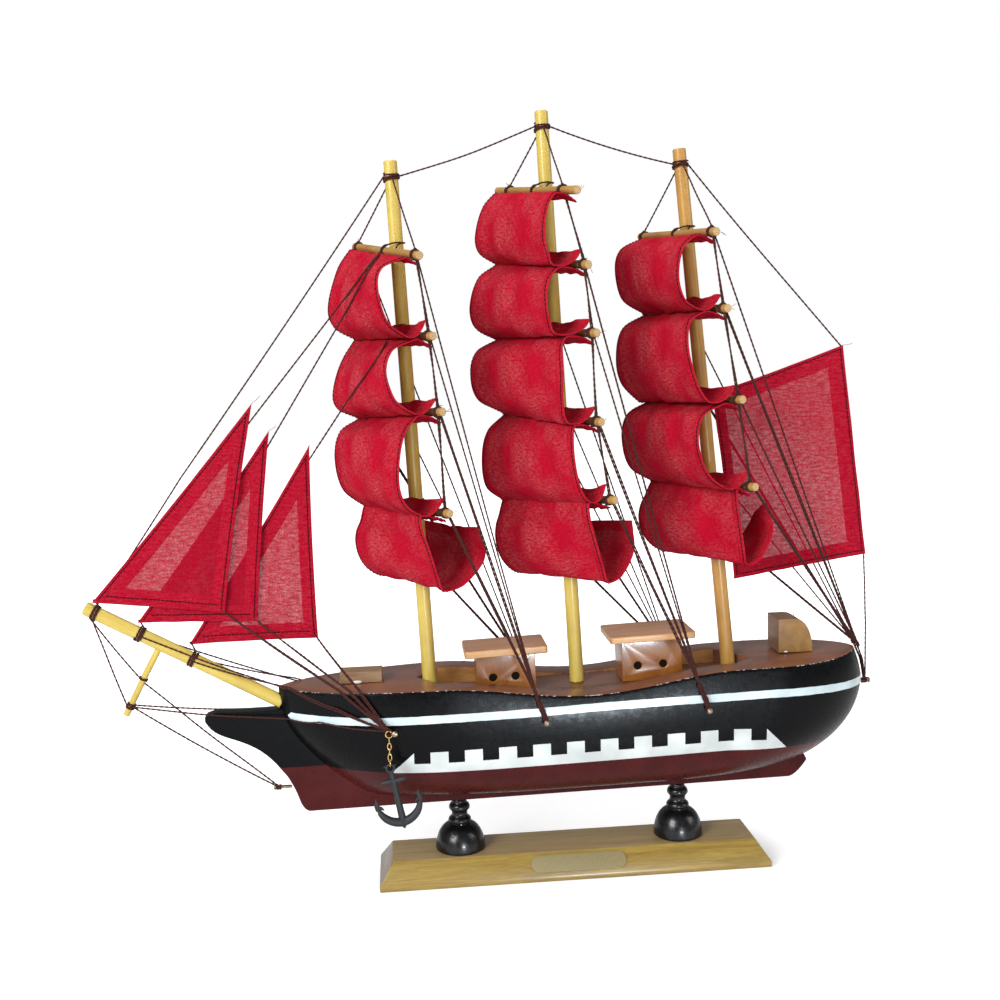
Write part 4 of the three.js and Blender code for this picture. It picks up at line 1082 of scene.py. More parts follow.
def chord_knots(outline):
    """Shares of the length of an outline, given as lists of forward distances and heights, at its points."""
    lengths = lengths_along([[float(np.mean(f)), float(np.mean(h))] for f, h in zip(*outline)])
    return lengths / lengths[-1]


def hem_profile(shares):
    """Thickness of a folded hem across its width: rounded at the fold, stepped at the cut edge."""
    return np.interp(shares, [0, 0.05, 0.15, 0.9, 0.97, 1.0], [0.5 * HEM, 0.9 * HEM, HEM, HEM, 0.8 * HEM, CLOTH])


def stitches(builder, path, normals):
    """A row of stitches: thread that dips through the hem along a path."""
    lengths = lengths_along(path)
    along = np.arange(0, lengths[-1], STITCH_PITCH / 8)
    place, lean = (np.stack([np.interp(along, lengths, rows[:, k]) for k in range(3)], 1) for rows in (path, normals))
    swing = np.sin(TAU * along / STITCH_PITCH) + 0.9
    height = (HEM / 2 + 0.12) * np.sign(swing) * np.minimum(1, np.abs(swing)) ** 0.35
    builder.tube(place + unit(lean) * height[:, None], STITCH_RADIUS, 5)


def make_sail(name, cloth, hems, body_cells=(56, 110), keep=None):
    """Cloth, folded hems and stitching. hems lists the edges that have one."""
    wide, high = cloth.size()
    fabric, seams = Builder(), Builder()
    across = np.linspace(0, 1, body_cells[0])
    down = np.linspace(0, 1, body_cells[1])
    points, normals, place = cloth.grid(across, down)
    mask = None if keep is None else keep(points)
    fabric.sheet(points, normals, CLOTH, place, mask)
    for edge in hems:
        upright = edge in ("port", "starboard")
        shares = HEM_SHARES * HEM_WIDTH / (wide if upright else high)
        seam = int(round(SEAM / HEM_WIDTH * (len(HEM_SHARES) - 1)))
        order = HEM_SHARES
        if edge in ("starboard", "foot"):
            shares, order = 1 - shares[::-1], HEM_SHARES[::-1]
            seam = len(HEM_SHARES) - 1 - seam
        if upright:
            points, normals, place = cloth.grid(shares, down)
            thick = np.broadcast_to(hem_profile(order), points.shape[:2])
            path, lean = points[:, seam], normals[:, seam]
        else:
            points, normals, place = cloth.grid(across, shares)
            thick = np.broadcast_to(hem_profile(order)[:, None], points.shape[:2])
            path, lean = points[seam], normals[seam]
        mask = None if keep is None else keep(points)
        fabric.sheet(points, normals, thick, place, mask, slot=1)
        if keep is None or upright:
            stitches(seams, path, lean)
    fabric.make(f"{name}_cloth", [SQUARE_CLOTH, SQUARE_HEM], "ship", "sailcloth", [name], 50)
    seams.make(f"{name}_stitching", STITCH, "ship", "sailcloth")


FOOTING = YARD_RADIUS + GAP + 0.25  # from a yard's axis to the cloth beside it
MEETING = 0.75  # height between a sail's foot and the head of the next where they touch
SAIL_WIDTH = 60


def crease(yard):
    """How the line along which two sails meet at a yard waves up and down."""
    wave = ripples(int(yard.height), 0.35, 18, 99, 3)
    return lambda u: wave(SAIL_WIDTH * u, 0)


def square_cloth(index, mast, seed):
    """A sail set between two yards. Its head comes out from under the upper yard, and its foot
    curls back over the front of the lower yard and stands up behind it."""
    upper, lower = (Yard(mast, *row) for row in mast["yards"][index:index + 2])
    port, starboard = mast["sails"][index]
    fold_body = ripples(seed + 50, 0.55, 20, 24, 5)
    fold_fine = ripples(seed, 0.25, 7, 12)
    crumple = ripples(seed + 90, 0.4, 9, 9, 5)
    edge = ripples(seed + 70, 0.7, 22, 40, 4)
    crease_above, crease_below = crease(upper), crease(lower)

    def outline(u, drop):
        """Distances forward of the yards' line, and heights above the lower yard, from head to foot."""
        crest, belly, curl, sag = (lerp(a, b, smooth(0, 1, u)) for a, b in zip(port, starboard))
        middle = drop / 2 - sag
        top = drop - MEETING / 2 - 0.8 + crease_above(u)
        bottom = MEETING / 2 - 0.8 + crease_below(u)
        corner = smooth(0.12, 0.0, u) + smooth(0.88, 1.0, u)
        shoulder = 0.74 - 0.032 * np.maximum(sag, 0)
        forward = [-0.8 - 0.6 * corner, 1.5, 0.5 * crest + 1.2, crest, lerp(crest, belly, shoulder), belly,
                   lerp(curl, belly, 0.8), curl, 0.5 * curl + 1.4, 2.4, 1.0 - 1.2 * corner]
        height = [drop - 3.6 - 0.8 * corner, drop - FOOTING - 0.3, top, top - 0.25, lerp(middle, drop, 0.62), middle,
                  0.36 * middle, bottom + 0.3, bottom, 2.3, 4.8 + edge(SAIL_WIDTH * u, 0) + 0.9 * corner]
        return forward, height

    knots = chord_knots(outline(np.array([0.5]), upper.height - lower.height))

    def place(u, v):
        side = 2 * u - 1
        head = upper.at(side * (upper.half - SAIL_INSET))
        foot = lower.at(side * (lower.half - SAIL_INSET))
        drop = head[..., 2] - foot[..., 2]
        forward, height = outline(u, drop)
        reach = spline(knots, forward, v)
        rise = spline(knots, height, v)
        share = np.clip(rise / drop, 0, 1)[..., None]
        base = foot + (head - foot) * share
        ahead = unit(lower.forward + (upper.forward - lower.forward) * share)
        points = base + reach[..., None] * ahead
        points[..., 2] = foot[..., 2] + rise
        return points

    def folds(s, q, u, v):
        held = smooth(knots[3], knots[4], v) * smooth(knots[3], knots[4], 1 - v)
        tails = smooth(knots[1], 0, v) + smooth(knots[9], 1, v)
        return (fold_body(s, q) + fold_fine(s, q)) * held + crumple(s, q) * tails

    return Cloth(place, folds)


def scoop_cloth(mast, yard, seed):
    """The lowest sail hangs from its yard and curls under into a trough round the mast. Behind the
    mizzen mast its edge is cut low in the middle, where the spanker stands."""
    scoop = mast["scoop"]
    reach, drop, aft = scoop["reach"], scoop["drop"], scoop["aft"]
    body = ripples(seed, 0.6, 18, 24, 5)
    crumple = ripples(seed + 9, 0.8, 5, 12, 5)
    crease_above = crease(yard)
    turns = np.radians([50, 68, 88, 112, 136, 160, 185, 210])

    def outline(u):
        back = np.radians(lerp(scoop["slit"], scoop["back"], np.abs(2 * u - 1) ** 0.35))
        top = crease_above(u) - MEETING / 2
        full = smooth(0.0, 0.7, u)
        forward = [-0.8 + 0 * u, 1.5 + 0 * u, lerp(0.85 * scoop["crest"], 4.2, full)]
        height = [-3.5 + 0 * u, -2.4 + 0 * u, top]
        for turn in [*turns, lerp(turns[-1], back, 0.5), back]:
            swing = np.sin(turn)
            port_end = np.where(swing > 0, lerp(scoop["crest"], scoop["base"], (1 - np.cos(turn)) / 2),
                                scoop["rear"] * swing)
            forward.append(lerp(port_end, reach * swing - aft, full))
            height.append(drop * (np.cos(turn) - 1) - 1 + 0 * u)
        return forward, height

    knots = chord_knots(outline(np.array([0.0])))

    def place(u, v):
        port = SAIL_INSET + 2 * v - yard.half
        starboard = yard.half - SAIL_INSET - 9 * v
        head = yard.at(lerp(port, starboard, u))
        forward, height = outline(u)
        head[..., 2] += spline(knots, height, v)
        return head + spline(knots, forward, v)[..., None] * yard.forward

    def folds(s, q, u, v):
        ends = smooth(0.03, 0.15, v)
        return body(s, q) * ends + crumple(s, q) * smooth(0.02, 0, v)

    def keep(points):
        """Leaves out the cells of cloth that the mast passes through."""
        centres = (points[:-1, :-1] + points[1:, :-1] + points[:-1, 1:] + points[1:, 1:]) / 4
        (foot_x, foot_z), (head_x, head_z) = mast["foot"], mast["head"]
        axis_x = foot_x + (centres[..., 2] - foot_z) * (head_x - foot_x) / (head_z - foot_z)
        away = np.hypot(centres[..., 0] - axis_x, centres[..., 1])
        return away > MAST_RADIUS + 0.45

    return Cloth(place, folds), keep


CLOTHS = {}


def build_square_sails():
    for m, (name, mast) in enumerate(MASTS.items()):
        yards = YARDS[name]
        for i, yard in enumerate(yards):
            seed = 100 * m + 10 * i + 3
            node = f"{name}_sail_{i + 1}"
            if i + 1 < len(yards):
                CLOTHS[node] = square_cloth(i, mast, seed)
                make_sail(node, CLOTHS[node], ("port", "starboard"))
            else:
                cloth, keep = scoop_cloth(mast, yard, seed)
                make_sail(node, cloth, ("port", "starboard", "foot"), (96, 120), keep)


# Corners in the XZ plane, and how far athwart a jib hangs.
JIBS = [
    {"head": (-125.8, 201.8), "tack": (-193.6, 123.6), "clew": (-141, 117.1), "y": -1.8},
    {"head": (-119.7, 190.6), "tack": (-176.4, 114.2), "clew": (-128.1, 112.5), "y": 0.0},
    {"head": (-104.0, 183.9), "tack": (-156.6, 103.8), "clew": (-104, 104.1), "y": 1.8},
]
SPANKER = {"throat": (63.2, 199.6), "peak": (119.3, 218.2), "clew": (129.3, 129.4), "tack": (72.0, 121.0)}


class FlatSail:
    """A sail that hangs nearly flat: its outline in the XZ plane and its small sideways swing."""

    def __init__(self, corners, y, belly, seed, hollow):
        self.corners = [vec(*c) for c in corners]
        self.middle = sum(self.corners) / len(self.corners)
        self.y = y
        self.belly = belly
        self.hollow = hollow
        self.wrinkle = ripples(seed, 0.45, 16, 22, 5)
        self.reach = max(np.linalg.norm(c - self.middle) for c in self.corners)

    def edge(self, k, t, inset=0.0):
        """Points along edge k at shares t, moved into the sail by inset millimetres."""
        a, b = self.corners[k], self.corners[(k + 1) % len(self.corners)]
        t = np.asarray(t, float)
        inward = vec(-(b - a)[1], (b - a)[0])
        inward = unit(inward) * np.sign(np.dot(inward, self.middle - a))
        bend = 4 * t * (1 - t) * self.hollow * np.linalg.norm(b - a)
        return a + t[..., None] * (b - a) + (bend + inset)[..., None] * inward

    def lift(self, flat):
        """The cloth's place in the frame for points in the XZ plane."""
        x, z = flat[..., 0], flat[..., 1]
        away = np.linalg.norm(flat - self.middle, axis=-1) / self.reach
        swing = self.belly * np.clip(1 - away**2, 0, 1) + self.wrinkle(x, z)
        return np.stack([x, self.y - swing, z], -1)

    def surface(self, flat):
        points = self.lift(flat)
        rows, columns = np.gradient(points, axis=0), np.gradient(points, axis=1)
        return points, unit(np.cross(rows, columns))


def corner_angle(before, corner, after):
    return math.acos(float(np.dot(unit(before - corner), unit(after - corner))))


def flat_grid(sail):
    """Points of a flat sail. Rows run from its head to its foot, and each spans it from luff to leech."""
    t, s = np.linspace(0, 1, 50), np.linspace(0, 1, 44)
    luff, leech = sail.edge(0, t), sail.edge(2, 1 - t)
    ruled = lerp(luff[:, None], leech[:, None], s[None, :, None])
    foot_gap = sail.edge(1, s) - ruled[-1]
    down = t[:, None, None]
    if len(sail.corners) == 4:
        return ruled + (sail.edge(3, 1 - s) - ruled[0]) * (1 - down) + foot_gap * down
    grid = ruled + down**4 * foot_gap
    grid[0] += 0.02 * s[:, None] * vec(1, 0)
    return grid


def make_flat_sail(name, sail, widths):
    """Cloth, mitred hems and stitching. widths gives each edge's hem and how far in its seam lies."""
    fabric, seams = Builder(), Builder()
    n = len(sail.corners)
    flat = flat_grid(sail)
    points, normals = sail.surface(flat)
    fabric.sheet(points, normals, CLOTH, flat)
    for k, (width, seam) in enumerate(widths):
        before, a, b, after = (sail.corners[(k + m) % n] for m in (-1, 0, 1, 2))
        length = np.linalg.norm(b - a)
        count = max(12, int(length / 1.6))
        shares = np.linspace(0, 1, count)
        # A hem is mitred: its inner edge is shorter than its outer edge at both corners.
        starts, ends = (1 / math.tan(corner_angle(*three) / 2) for three in ((before, a, b), (a, b, after)))
        rows = []
        for s in HEM_SHARES:
            first, last = s * width * starts / length, s * width * ends / length
            squeeze = min(1.0, 0.98 / max(first + last, 1e-9))
            first, last = first * squeeze, last * squeeze
            rows.append(sail.edge(k, first + shares * (1 - first - last), np.full(count, s * width)))
        band = np.stack(rows, 1)
        points, normals = sail.surface(band)
        thick = np.broadcast_to(hem_profile(HEM_SHARES), points.shape[:2])
        fabric.sheet(points, normals, thick, band, slot=1)
        row = int(round(seam / width * (len(HEM_SHARES) - 1)))
        stitches(seams, points[:, row], normals[:, row])
    fabric.make(f"{name}_cloth", [SAILCLOTH, SAIL_HEM], "ship", "sailcloth", [name], 50)
    seams.make(f"{name}_stitching", STITCH, "ship", "sailcloth")


def build_flat_sails():
    for i, jib in enumerate(JIBS):
        sail = FlatSail([jib["head"], jib["tack"], jib["clew"]], jib["y"], 1.2, 700 + i, 0.006)
        make_flat_sail(f"jib_{i + 1}", sail, ((6.6, 1.3), (6.6, 3.0), (5.6, 1.3)))
    corners = [SPANKER[k] for k in ("throat", "tack", "clew", "peak")]
    widths = ((4.6, 1.3), (6.5, 1.6), (7.5, 1.6), (6.6, 1.3))
    make_flat_sail("spanker", FlatSail(corners, 0.0, 1.6, 731, 0.004), widths)


# ---------------------------------------------------------------- pins, chain and anchor


PIN_PROFILE = [(0, -7.5), (PIN_SHANK, -7.5), (PIN_SHANK, -1.05), (0.75, -0.95), (1.1, -0.8), (1.2, -0.62),
               (1.15, -0.4), (0.95, -0.16), (0.5, -0.03), (0, -0.02)]


def nail(name, place):
    """A pin with a domed head."""
    builder = Builder()
    builder.turned(PIN_PROFILE, place, 28)
    builder.make(f"{name}_nail", PIN_BRASS, "ship", "pin_brass", [f"{name}_pin"], 50)


def build_pins():
    for spot, (x, z, reach) in SIDE_PINS.items():
        lean = 0.55 if spot == "fore" else 0.0
        for side, name in SIDES:
            nail(f"{name}_{spot}", lambda p: np.stack([
                p[:, 0] + x + lean * (4.6 + p[:, 2]), side * (reach + p[:, 2]), -side * p[:, 1] + z], 1))
    for name, (x, z), way in (("stern", STERN_PIN, 1), ("stem", STEM_PIN, -1)):
        nail(name, lambda p: np.stack([x + way * p[:, 2], p[:, 1], z - way * p[:, 0]], 1))


# The chain: its top ring hangs on the fore pin, the shackle ring ends it.
CHAIN_X, CHAIN_Y = -76.0, -27.6
WIRE, LINK_HALF, LINK_WIDTH, RING, SHACKLE = 0.25, 1.4, 0.7, 1.35, 1.6
EYE_RADIUS, EYE_WIRE = 1.5, 0.5  # the anchor's eye


def chain_levels():
    """Heights of the top ring, the four links, the shackle ring and the anchor's eye."""
    fused, slack = 0.15, 0.25
    top = SIDE_PINS["fore"][1] - (RING - WIRE - PIN_SHANK) + 0.1
    fused_pitch = 2 * LINK_HALF - 2 * WIRE + fused
    slack_pitch = 2 * LINK_HALF - 2 * WIRE - slack
    first = top - RING + 2 * WIRE - fused - LINK_HALF
    second = first - fused_pitch
    third = second - slack_pitch
    fourth = third - fused_pitch
    shackle = fourth - LINK_HALF + 2 * WIRE + slack - SHACKLE
    eye = shackle - SHACKLE + WIRE + slack + 0.4 - EYE_RADIUS
    return top, (first, second, third, fourth), shackle, eye


def build_chain():
    top, links, shackle, eye = chain_levels()
    t = round_turn(40)
    straight = np.sign(np.cos(t)) * np.abs(np.cos(t)) ** 0.8  # a link's sides are nearly straight

    def link(height, broad, half, along):
        """Round wire, a little thinner than in the frame, so that the links turn freely in each other."""
        path = vec(CHAIN_X, CHAIN_Y, height) + np.outer(broad, along) + np.outer(np.sin(t) * half, vec(0, 0, 1))
        builder.loop(path, WIRE - 0.045, 10)

    pieces = (
        ("chain_links_upper", "chain_upper", "anchor_chain_upper", links[:2]),
        ("chain_links_lower", "chain_lower", "anchor_chain_lower", links[2:]),
        ("chain_shackle", "shackle_ring", "anchor_ring", ()),
    )
    for name, body, node, heights in pieces:
        builder = Builder()
        if body == "chain_upper":
            link(top, RING * np.cos(t), RING, FORE_AND_AFT)
        elif body == "shackle_ring":
            link(shackle, SHACKLE * np.cos(t), SHACKLE, ATHWART)
        for height, along in zip(heights, (ATHWART, FORE_AND_AFT)):
            link(height, straight * LINK_WIDTH, LINK_HALF, along)
        builder.make(name, CHAIN_GOLD, body, "chain_gold", [node])
    build_anchor(CHAIN_X, CHAIN_Y, eye)


def build_anchor(x, y, eye):
    """A cast anchor hanging from its eye, leaning aft at the foot."""
    lean = math.radians(-11)
    c, s = math.cos(lean), math.sin(lean)

    def hang(points):
        points = np.asarray(points, float)
        return np.stack([x + points[:, 0] * c + points[:, 2] * s, y + points[:, 1],
                         eye - points[:, 0] * s + points[:, 2] * c], 1)

    builder = Builder()
    t = round_turn(48)
    builder.loop(hang(np.stack([np.cos(t), 0 * t, np.sin(t)], 1) * EYE_RADIUS), EYE_WIRE, 12)
    for side in (-1, 1):
        horn = [(side * 1.2, 0, 0.6), (side * 2.1, 0, 1.0), (side * 2.7, 0, 0.9)]
        builder.tube(hang(horn), [0.45, 0.32, 0.08], 10)
    down = np.linspace(0, 1, 14)
    shank = [(0, 0, -1.5 - 20.5 * k) for k in down]
    builder.tube(hang(shank), np.interp(down, [0, 0.15, 0.3, 1], [0.95, 1.25, 1.15, 1.5]), 20)
    along = np.linspace(-1, 1, 15)
    stock = [(5.4 * k, -0.1 * k, -5.3 + 0.1 * abs(k)) for k in along]
    builder.tube(hang(stock), np.interp(abs(along), [0, 0.75, 0.92, 1], [1.15, 1.0, 0.85, 0.25]), 18)
    angle = np.radians(np.linspace(-82, 82, 41))
    arms = np.stack([8.7 * np.sin(angle), 0 * angle, -13.6 - 9.0 * np.cos(angle)], 1)
    builder.tube(hang(arms), np.interp(np.abs(angle), [0, 0.8, 1.2, 1.43], [1.85, 1.55, 1.15, 0.12]), 20)
    crown = [(0, 0, -21.6), (0, 0, -23.6), (0, 0, -24.6), (0, 0, -25.6)]
    builder.tube(hang(crown), [2.0, 1.7, 0.8, 0.1], 18)
    for side in (-1, 1):
        palm = [(side * 8.9, 0, -15.9), (side * 8.7, 0, -14.2), (side * 8.5, 0, -12.4), (side * 8.6, 0, -10.9)]
        builder.tube(hang(palm), [0.7, 1.15, 0.8, 0.1], 14)
        barb = [(side * 8.6, 0, -14.6), (side * 7.2, 0, -15.2), (side * 6.2, 0, -16.2)]
        builder.tube(hang(barb), [0.8, 0.7, 0.12], 12)
    builder.make("cast_anchor", ANCHOR_IRON, "anchor", "anchor_iron", ["anchor"])


# ---------------------------------------------------------------- rigging

TWINE_RADIUS = 0.33
TURN_RADIUS = 0.32  # twine pulled tight in a lashing


def cord(builder, points, sag=0.0, wander=0.12):
    """Twisted twine through a row of points, with a little sag and waver in every span."""
    points = [np.asarray(p, float) for p in points]
    path = []
    for a, b in zip(points, points[1:]):
        length = np.linalg.norm(b - a)
        t = np.linspace(0, 1, max(3, int(length / 0.55)), endpoint=False)[:, None]
        span = lerp(a, b, t)
        span[:, 2:] -= 4 * sag * t * (1 - t)
        drift = unit(rng.normal(size=3)) * wander * min(1, length / 40)
        path.append(span + drift * np.sin(t * math.pi * rng.integers(1, 4)))
    path.append(points[-1][None])
    builder.tube(np.vstack(path), TWINE_RADIUS, 6, lobes=0.2, pitch=2.2)


def coil(builder, centre, axis, radius, turns=3, spread=1.0):
    """Twine wound round a spar or a pin."""
    axis = unit(np.asarray(axis, float))
    side = unit(np.cross(axis, vec(0.3, 0.2, 1)))
    other = np.cross(axis, side)
    t = np.linspace(0, turns, int(turns * 28))
    slip = (t - turns / 2) * TURN_RADIUS * 2 * spread + 0.12 * np.sin(t * 2.3 + centre[0])
    reach = radius + TURN_RADIUS * 0.9 + 0.05 * np.sin(t * 5)
    turn = TAU * t + centre[2]
    path = (np.asarray(centre, float) + slip[:, None] * axis
            + reach[:, None] * (np.cos(turn)[:, None] * side + np.sin(turn)[:, None] * other))
    builder.tube(path, TURN_RADIUS, 6, lobes=0.2, pitch=2.0)


def tied(builder, at, size=0.62):
    """An overhand knot."""
    t = round_turn(39)
    path = np.stack([np.sin(t) + 2 * np.sin(2 * t), np.cos(t) - 2 * np.cos(2 * t), -np.sin(3 * t)], 1) / 3
    builder.loop(np.asarray(at, float) + path * size, 0.3, 6)


def crossing(builder, yard, mast):
    """The X-shaped lashing that holds a yard to its mast."""
    front = yard.centre + yard.forward * (YARD_RADIUS + 0.45)
    behind = mast_at(mast, yard.height) - yard.forward * (MAST_RADIUS + 0.45)
    along, up, out = unit(yard.starboard * vec(1, 1, 0)), vec(0, 0, 1), yard.forward
    for slant in (-1, 1):
        control = [
            front,
            yard.centre + slant * along * 1.9 + up * (YARD_RADIUS + 0.5),
            yard.centre - out * 3.2 + slant * along * (MAST_RADIUS + 0.4) + up * 3.0,
            behind + up * 3.3,
            yard.centre - out * 4.2 - slant * along * (MAST_RADIUS + 0.45) + up * 2.4,
            yard.centre - out * 2.1 - slant * along * 3.0 - up * 0.6,
            yard.centre - slant * along * 1.9 - up * (YARD_RADIUS + 0.4),
        ]
        builder.loop(rounded(control), TURN_RADIUS, 6)


def rounded(points):
    """A closed smooth curve through points."""
    t = np.linspace(0, 1, 10, endpoint=False)[:, None]
    curve = []
    for i in range(len(points)):
        a, b, c, d = (points[(i + k) % len(points)] for k in (-1, 0, 1, 2))
        curve.append(0.5 * (2 * b + (c - a) * t + (2 * a - 5 * b + 4 * c - d) * t**2
                            + (3 * b - a - 3 * c + d) * t**3))
    return np.vstack(curve)


def side_pin(spot, side, inset):
    """A place on a side pin's axis, that far in from its head."""
    x, z, reach = SIDE_PINS[spot]
    return vec(x, side * (reach - inset), z)


def on_sprit(x, above=0.0, aside=0.0):
    """A place beside the bowsprit's axis."""
    slope = (BOWSPRIT_TIP[1] - BOWSPRIT_HEEL[1]) / (BOWSPRIT_HEEL[0] - BOWSPRIT_TIP[0])
    upward = unit(vec(slope, 0, 1))
    return vec(x, 0, BOWSPRIT_HEEL[1] + slope * (BOWSPRIT_HEEL[0] - x)) + upward * above + vec(0, aside, 0)


SPRIT_SEATS = (-193, -175.7, -155.3)
BOOM_END, BOOM_WAIST = vec(-181.3, 0, 79.6), vec(-175.6, 0, 90.6)
STERN_KNOT = vec(129.0, 0, 74.8)
TAFFRAIL = {side: vec(125.0, side * 2.2, 90.6) for side in (-1, 1)}
HEADS = {name: mast_at(mast, mast["head"][1] - 6) for name, mast in MASTS.items()}


def build_lashings():
    for name, mast in MASTS.items():
        builder = Builder()
        axis = mast_at(mast, 250) - mast_at(mast, 150)
        coil(builder, HEADS[name], axis + vec(6, -9, 0), MASTHEAD_RADIUS, 3, spread=1.2)
        coil(builder, HEADS[name] - vec(0, 0, 0.8), axis + vec(-16, 5, 0), MASTHEAD_RADIUS + 0.25, 2, spread=1.3)
        tied(builder, HEADS[name] + vec(0, -MASTHEAD_RADIUS - 0.6, -0.6))
        for yard in YARDS[name]:
            for side in (-1, 1):
                coil(builder, yard.at(side * (yard.half - yard.tie)), yard.starboard, YARD_RADIUS, 3)
                tied(builder, yard.tip(side) + vec(0, 0, 0.2), 0.5)
            crossing(builder, yard, mast)
        builder.make(f"{name}_lashings", TWINE, "ship", "thread")
    builder = Builder()
    sprit_axis = on_sprit(-190) - on_sprit(-160)
    for x in SPRIT_SEATS:
        coil(builder, on_sprit(x), sprit_axis, BOWSPRIT_RADIUS, 4)
    for place, turns in ((BOOM_END, 4), (BOOM_WAIST, 2)):
        coil(builder, place, vec(8.7, 0, 16.4), BOOM_RADIUS, turns)
    builder.make("bow_lashings", TWINE, "ship", "thread")


def hitch(builder, above, pin, side):
    """The strands' way from where they come together down to their pin, and the turns round it."""
    for k in range(4):
        shift = vec(0.45 * (k - 1.5), side * 0.25 * (k % 2), 0)
        cord(builder, [above + shift, lerp(above, pin, 0.5) + 1.3 * shift + vec(0, side * 0.3, 0),
                       pin + vec(0.5 * (k - 1.5), side * 0.2 * (k % 2), -0.5)], 0, wander=0.05)
    tied(builder, above, 1.0)
    tied(builder, above + vec(0.5, side * 0.2, -1.2), 0.9)


def shroud_set(builder, name, gather, doubled):
    """Lines between the yard ends and from every yard end to one gathering point on each side."""
    for side in (-1, 1):
        tips = [yard.tip(side) for yard in YARDS[name]]
        end = gather(side)
        for a, b in zip(tips, tips[1:]):
            for shift in (-0.35, 0.35):
                cord(builder, [a + vec(shift, 0, 0), b + vec(-shift, side * 0.3, 0)], 0.3)
        for i, tip in enumerate(tips):
            for shift in (-0.3, 0.3) if i in doubled else (0.0,):
                cord(builder, [tip + vec(shift, 0, 0), end + vec(shift, 0, 0.4 + 0.1 * i)], 0.5)
        tied(builder, end + vec(0, 0, 0.5), 0.9)
        tied(builder, end + vec(0.3, side * 0.2, -0.4), 0.8)


def build_shrouds():
    fore, main = Builder(), Builder()
    for builder, name, spot, doubled in ((fore, "fore", "mid", (2, 3)), (main, "main", "aft", (3, 4))):
        x, z, _ = SIDE_PINS[spot]
        above = {side: vec(x - 3.2, beside(x - 3.2, z + 9, side, 1.2), z + 9.5) for side in (-1, 1)}
        shroud_set(builder, name, above.get, doubled)
        for side in (-1, 1):
            hitch(builder, above[side], side_pin(spot, side, 1.6) + vec(0, 0, 0.9), side)
    mizzen = Builder()
    shroud_set(mizzen, "mizzen", TAFFRAIL.get, (1, 3))
    for side in (-1, 1):
        for shift in (-0.4, 0.0, 0.5):
            foot = STERN_KNOT + vec(0.4 * shift, side * 0.5, 0.3)
            stern_edge = vec(127.6, side * (1.2 + shift), 84.0)
            cord(mizzen, [TAFFRAIL[side] + vec(0, shift, 0), stern_edge, foot], 0, wander=0)
    for spot, builder in (("mid", fore), ("aft", main)):
        for side in (-1, 1):
            coil(builder, side_pin(spot, side, 2.4), ATHWART, PIN_SHANK, 3)
    coil(mizzen, vec(129.2, 0, STERN_PIN[1]), FORE_AND_AFT, PIN_SHANK, 4)
    clear = MASTHEAD_RADIUS + 0.3
    for name, builder in (("fore", fore), ("main", main), ("mizzen", mizzen)):
        for side in (-1, 1):
            cord(builder, [HEADS[name] + side * clear * ATHWART, YARDS[name][0].tip(side)], 0.2)
    clear = clear * FORE_AND_AFT
    cord(fore, [HEADS["fore"] + clear, HEADS["main"] - clear], 1.2)
    cord(main, [HEADS["main"] + clear, HEADS["mizzen"] - clear], 1.2)
    peak, clew = SPANKER["peak"], SPANKER["clew"]
    cord(mizzen, [HEADS["mizzen"] + clear, vec(peak[0] - 0.6, 0, peak[1] - 0.6)], 0.6)
    cord(mizzen, [vec(clew[0] - 0.6, 0, clew[1] + 0.6), vec(129.6, 0, 100), STERN_KNOT + vec(0.5, 0, 0)], 0)
    fore.make("fore_shrouds", TWINE, "ship", "thread", ["rigging"])
    main.make("main_shrouds", TWINE, "ship", "thread")
    mizzen.make("mizzen_shrouds", TWINE, "ship", "thread")


# A thread over a bulging sail slides off towards the port leech, almost level.
SLIDE = vec(-0.05, -0.99, -0.14)


def draped(start, end, cloth, yard):
    """A straight thread from start to end, pushed aside by the cloth that bulges into its way."""
    clear = 0.6
    path = [lerp(start, end, t) for t in np.linspace(0, 1, 60)]
    gain = float(np.dot(SLIDE, yard.forward))
    for point in path:
        for _ in range(8):
            away = float(np.dot(point - yard.centre, yard.starboard * vec(1, 1, 0)))
            u = np.clip(away / (yard.half - SAIL_INSET) / 2 + 0.5, 0.02, 0.98)
            surface = cloth.grid(np.array([u - 0.01, u, u + 0.01]), np.linspace(0.05, 0.9, 80))[0][:, 1]
            level = np.abs(surface[:, 2] - point[2]) < 0.8
            if level.any():
                bulge = float(((surface[level] - yard.centre) @ yard.forward).max()) + clear
                here = float(np.dot(point - yard.centre, yard.forward))
                point += SLIDE * max(0.0, bulge - here) / gain
    return path


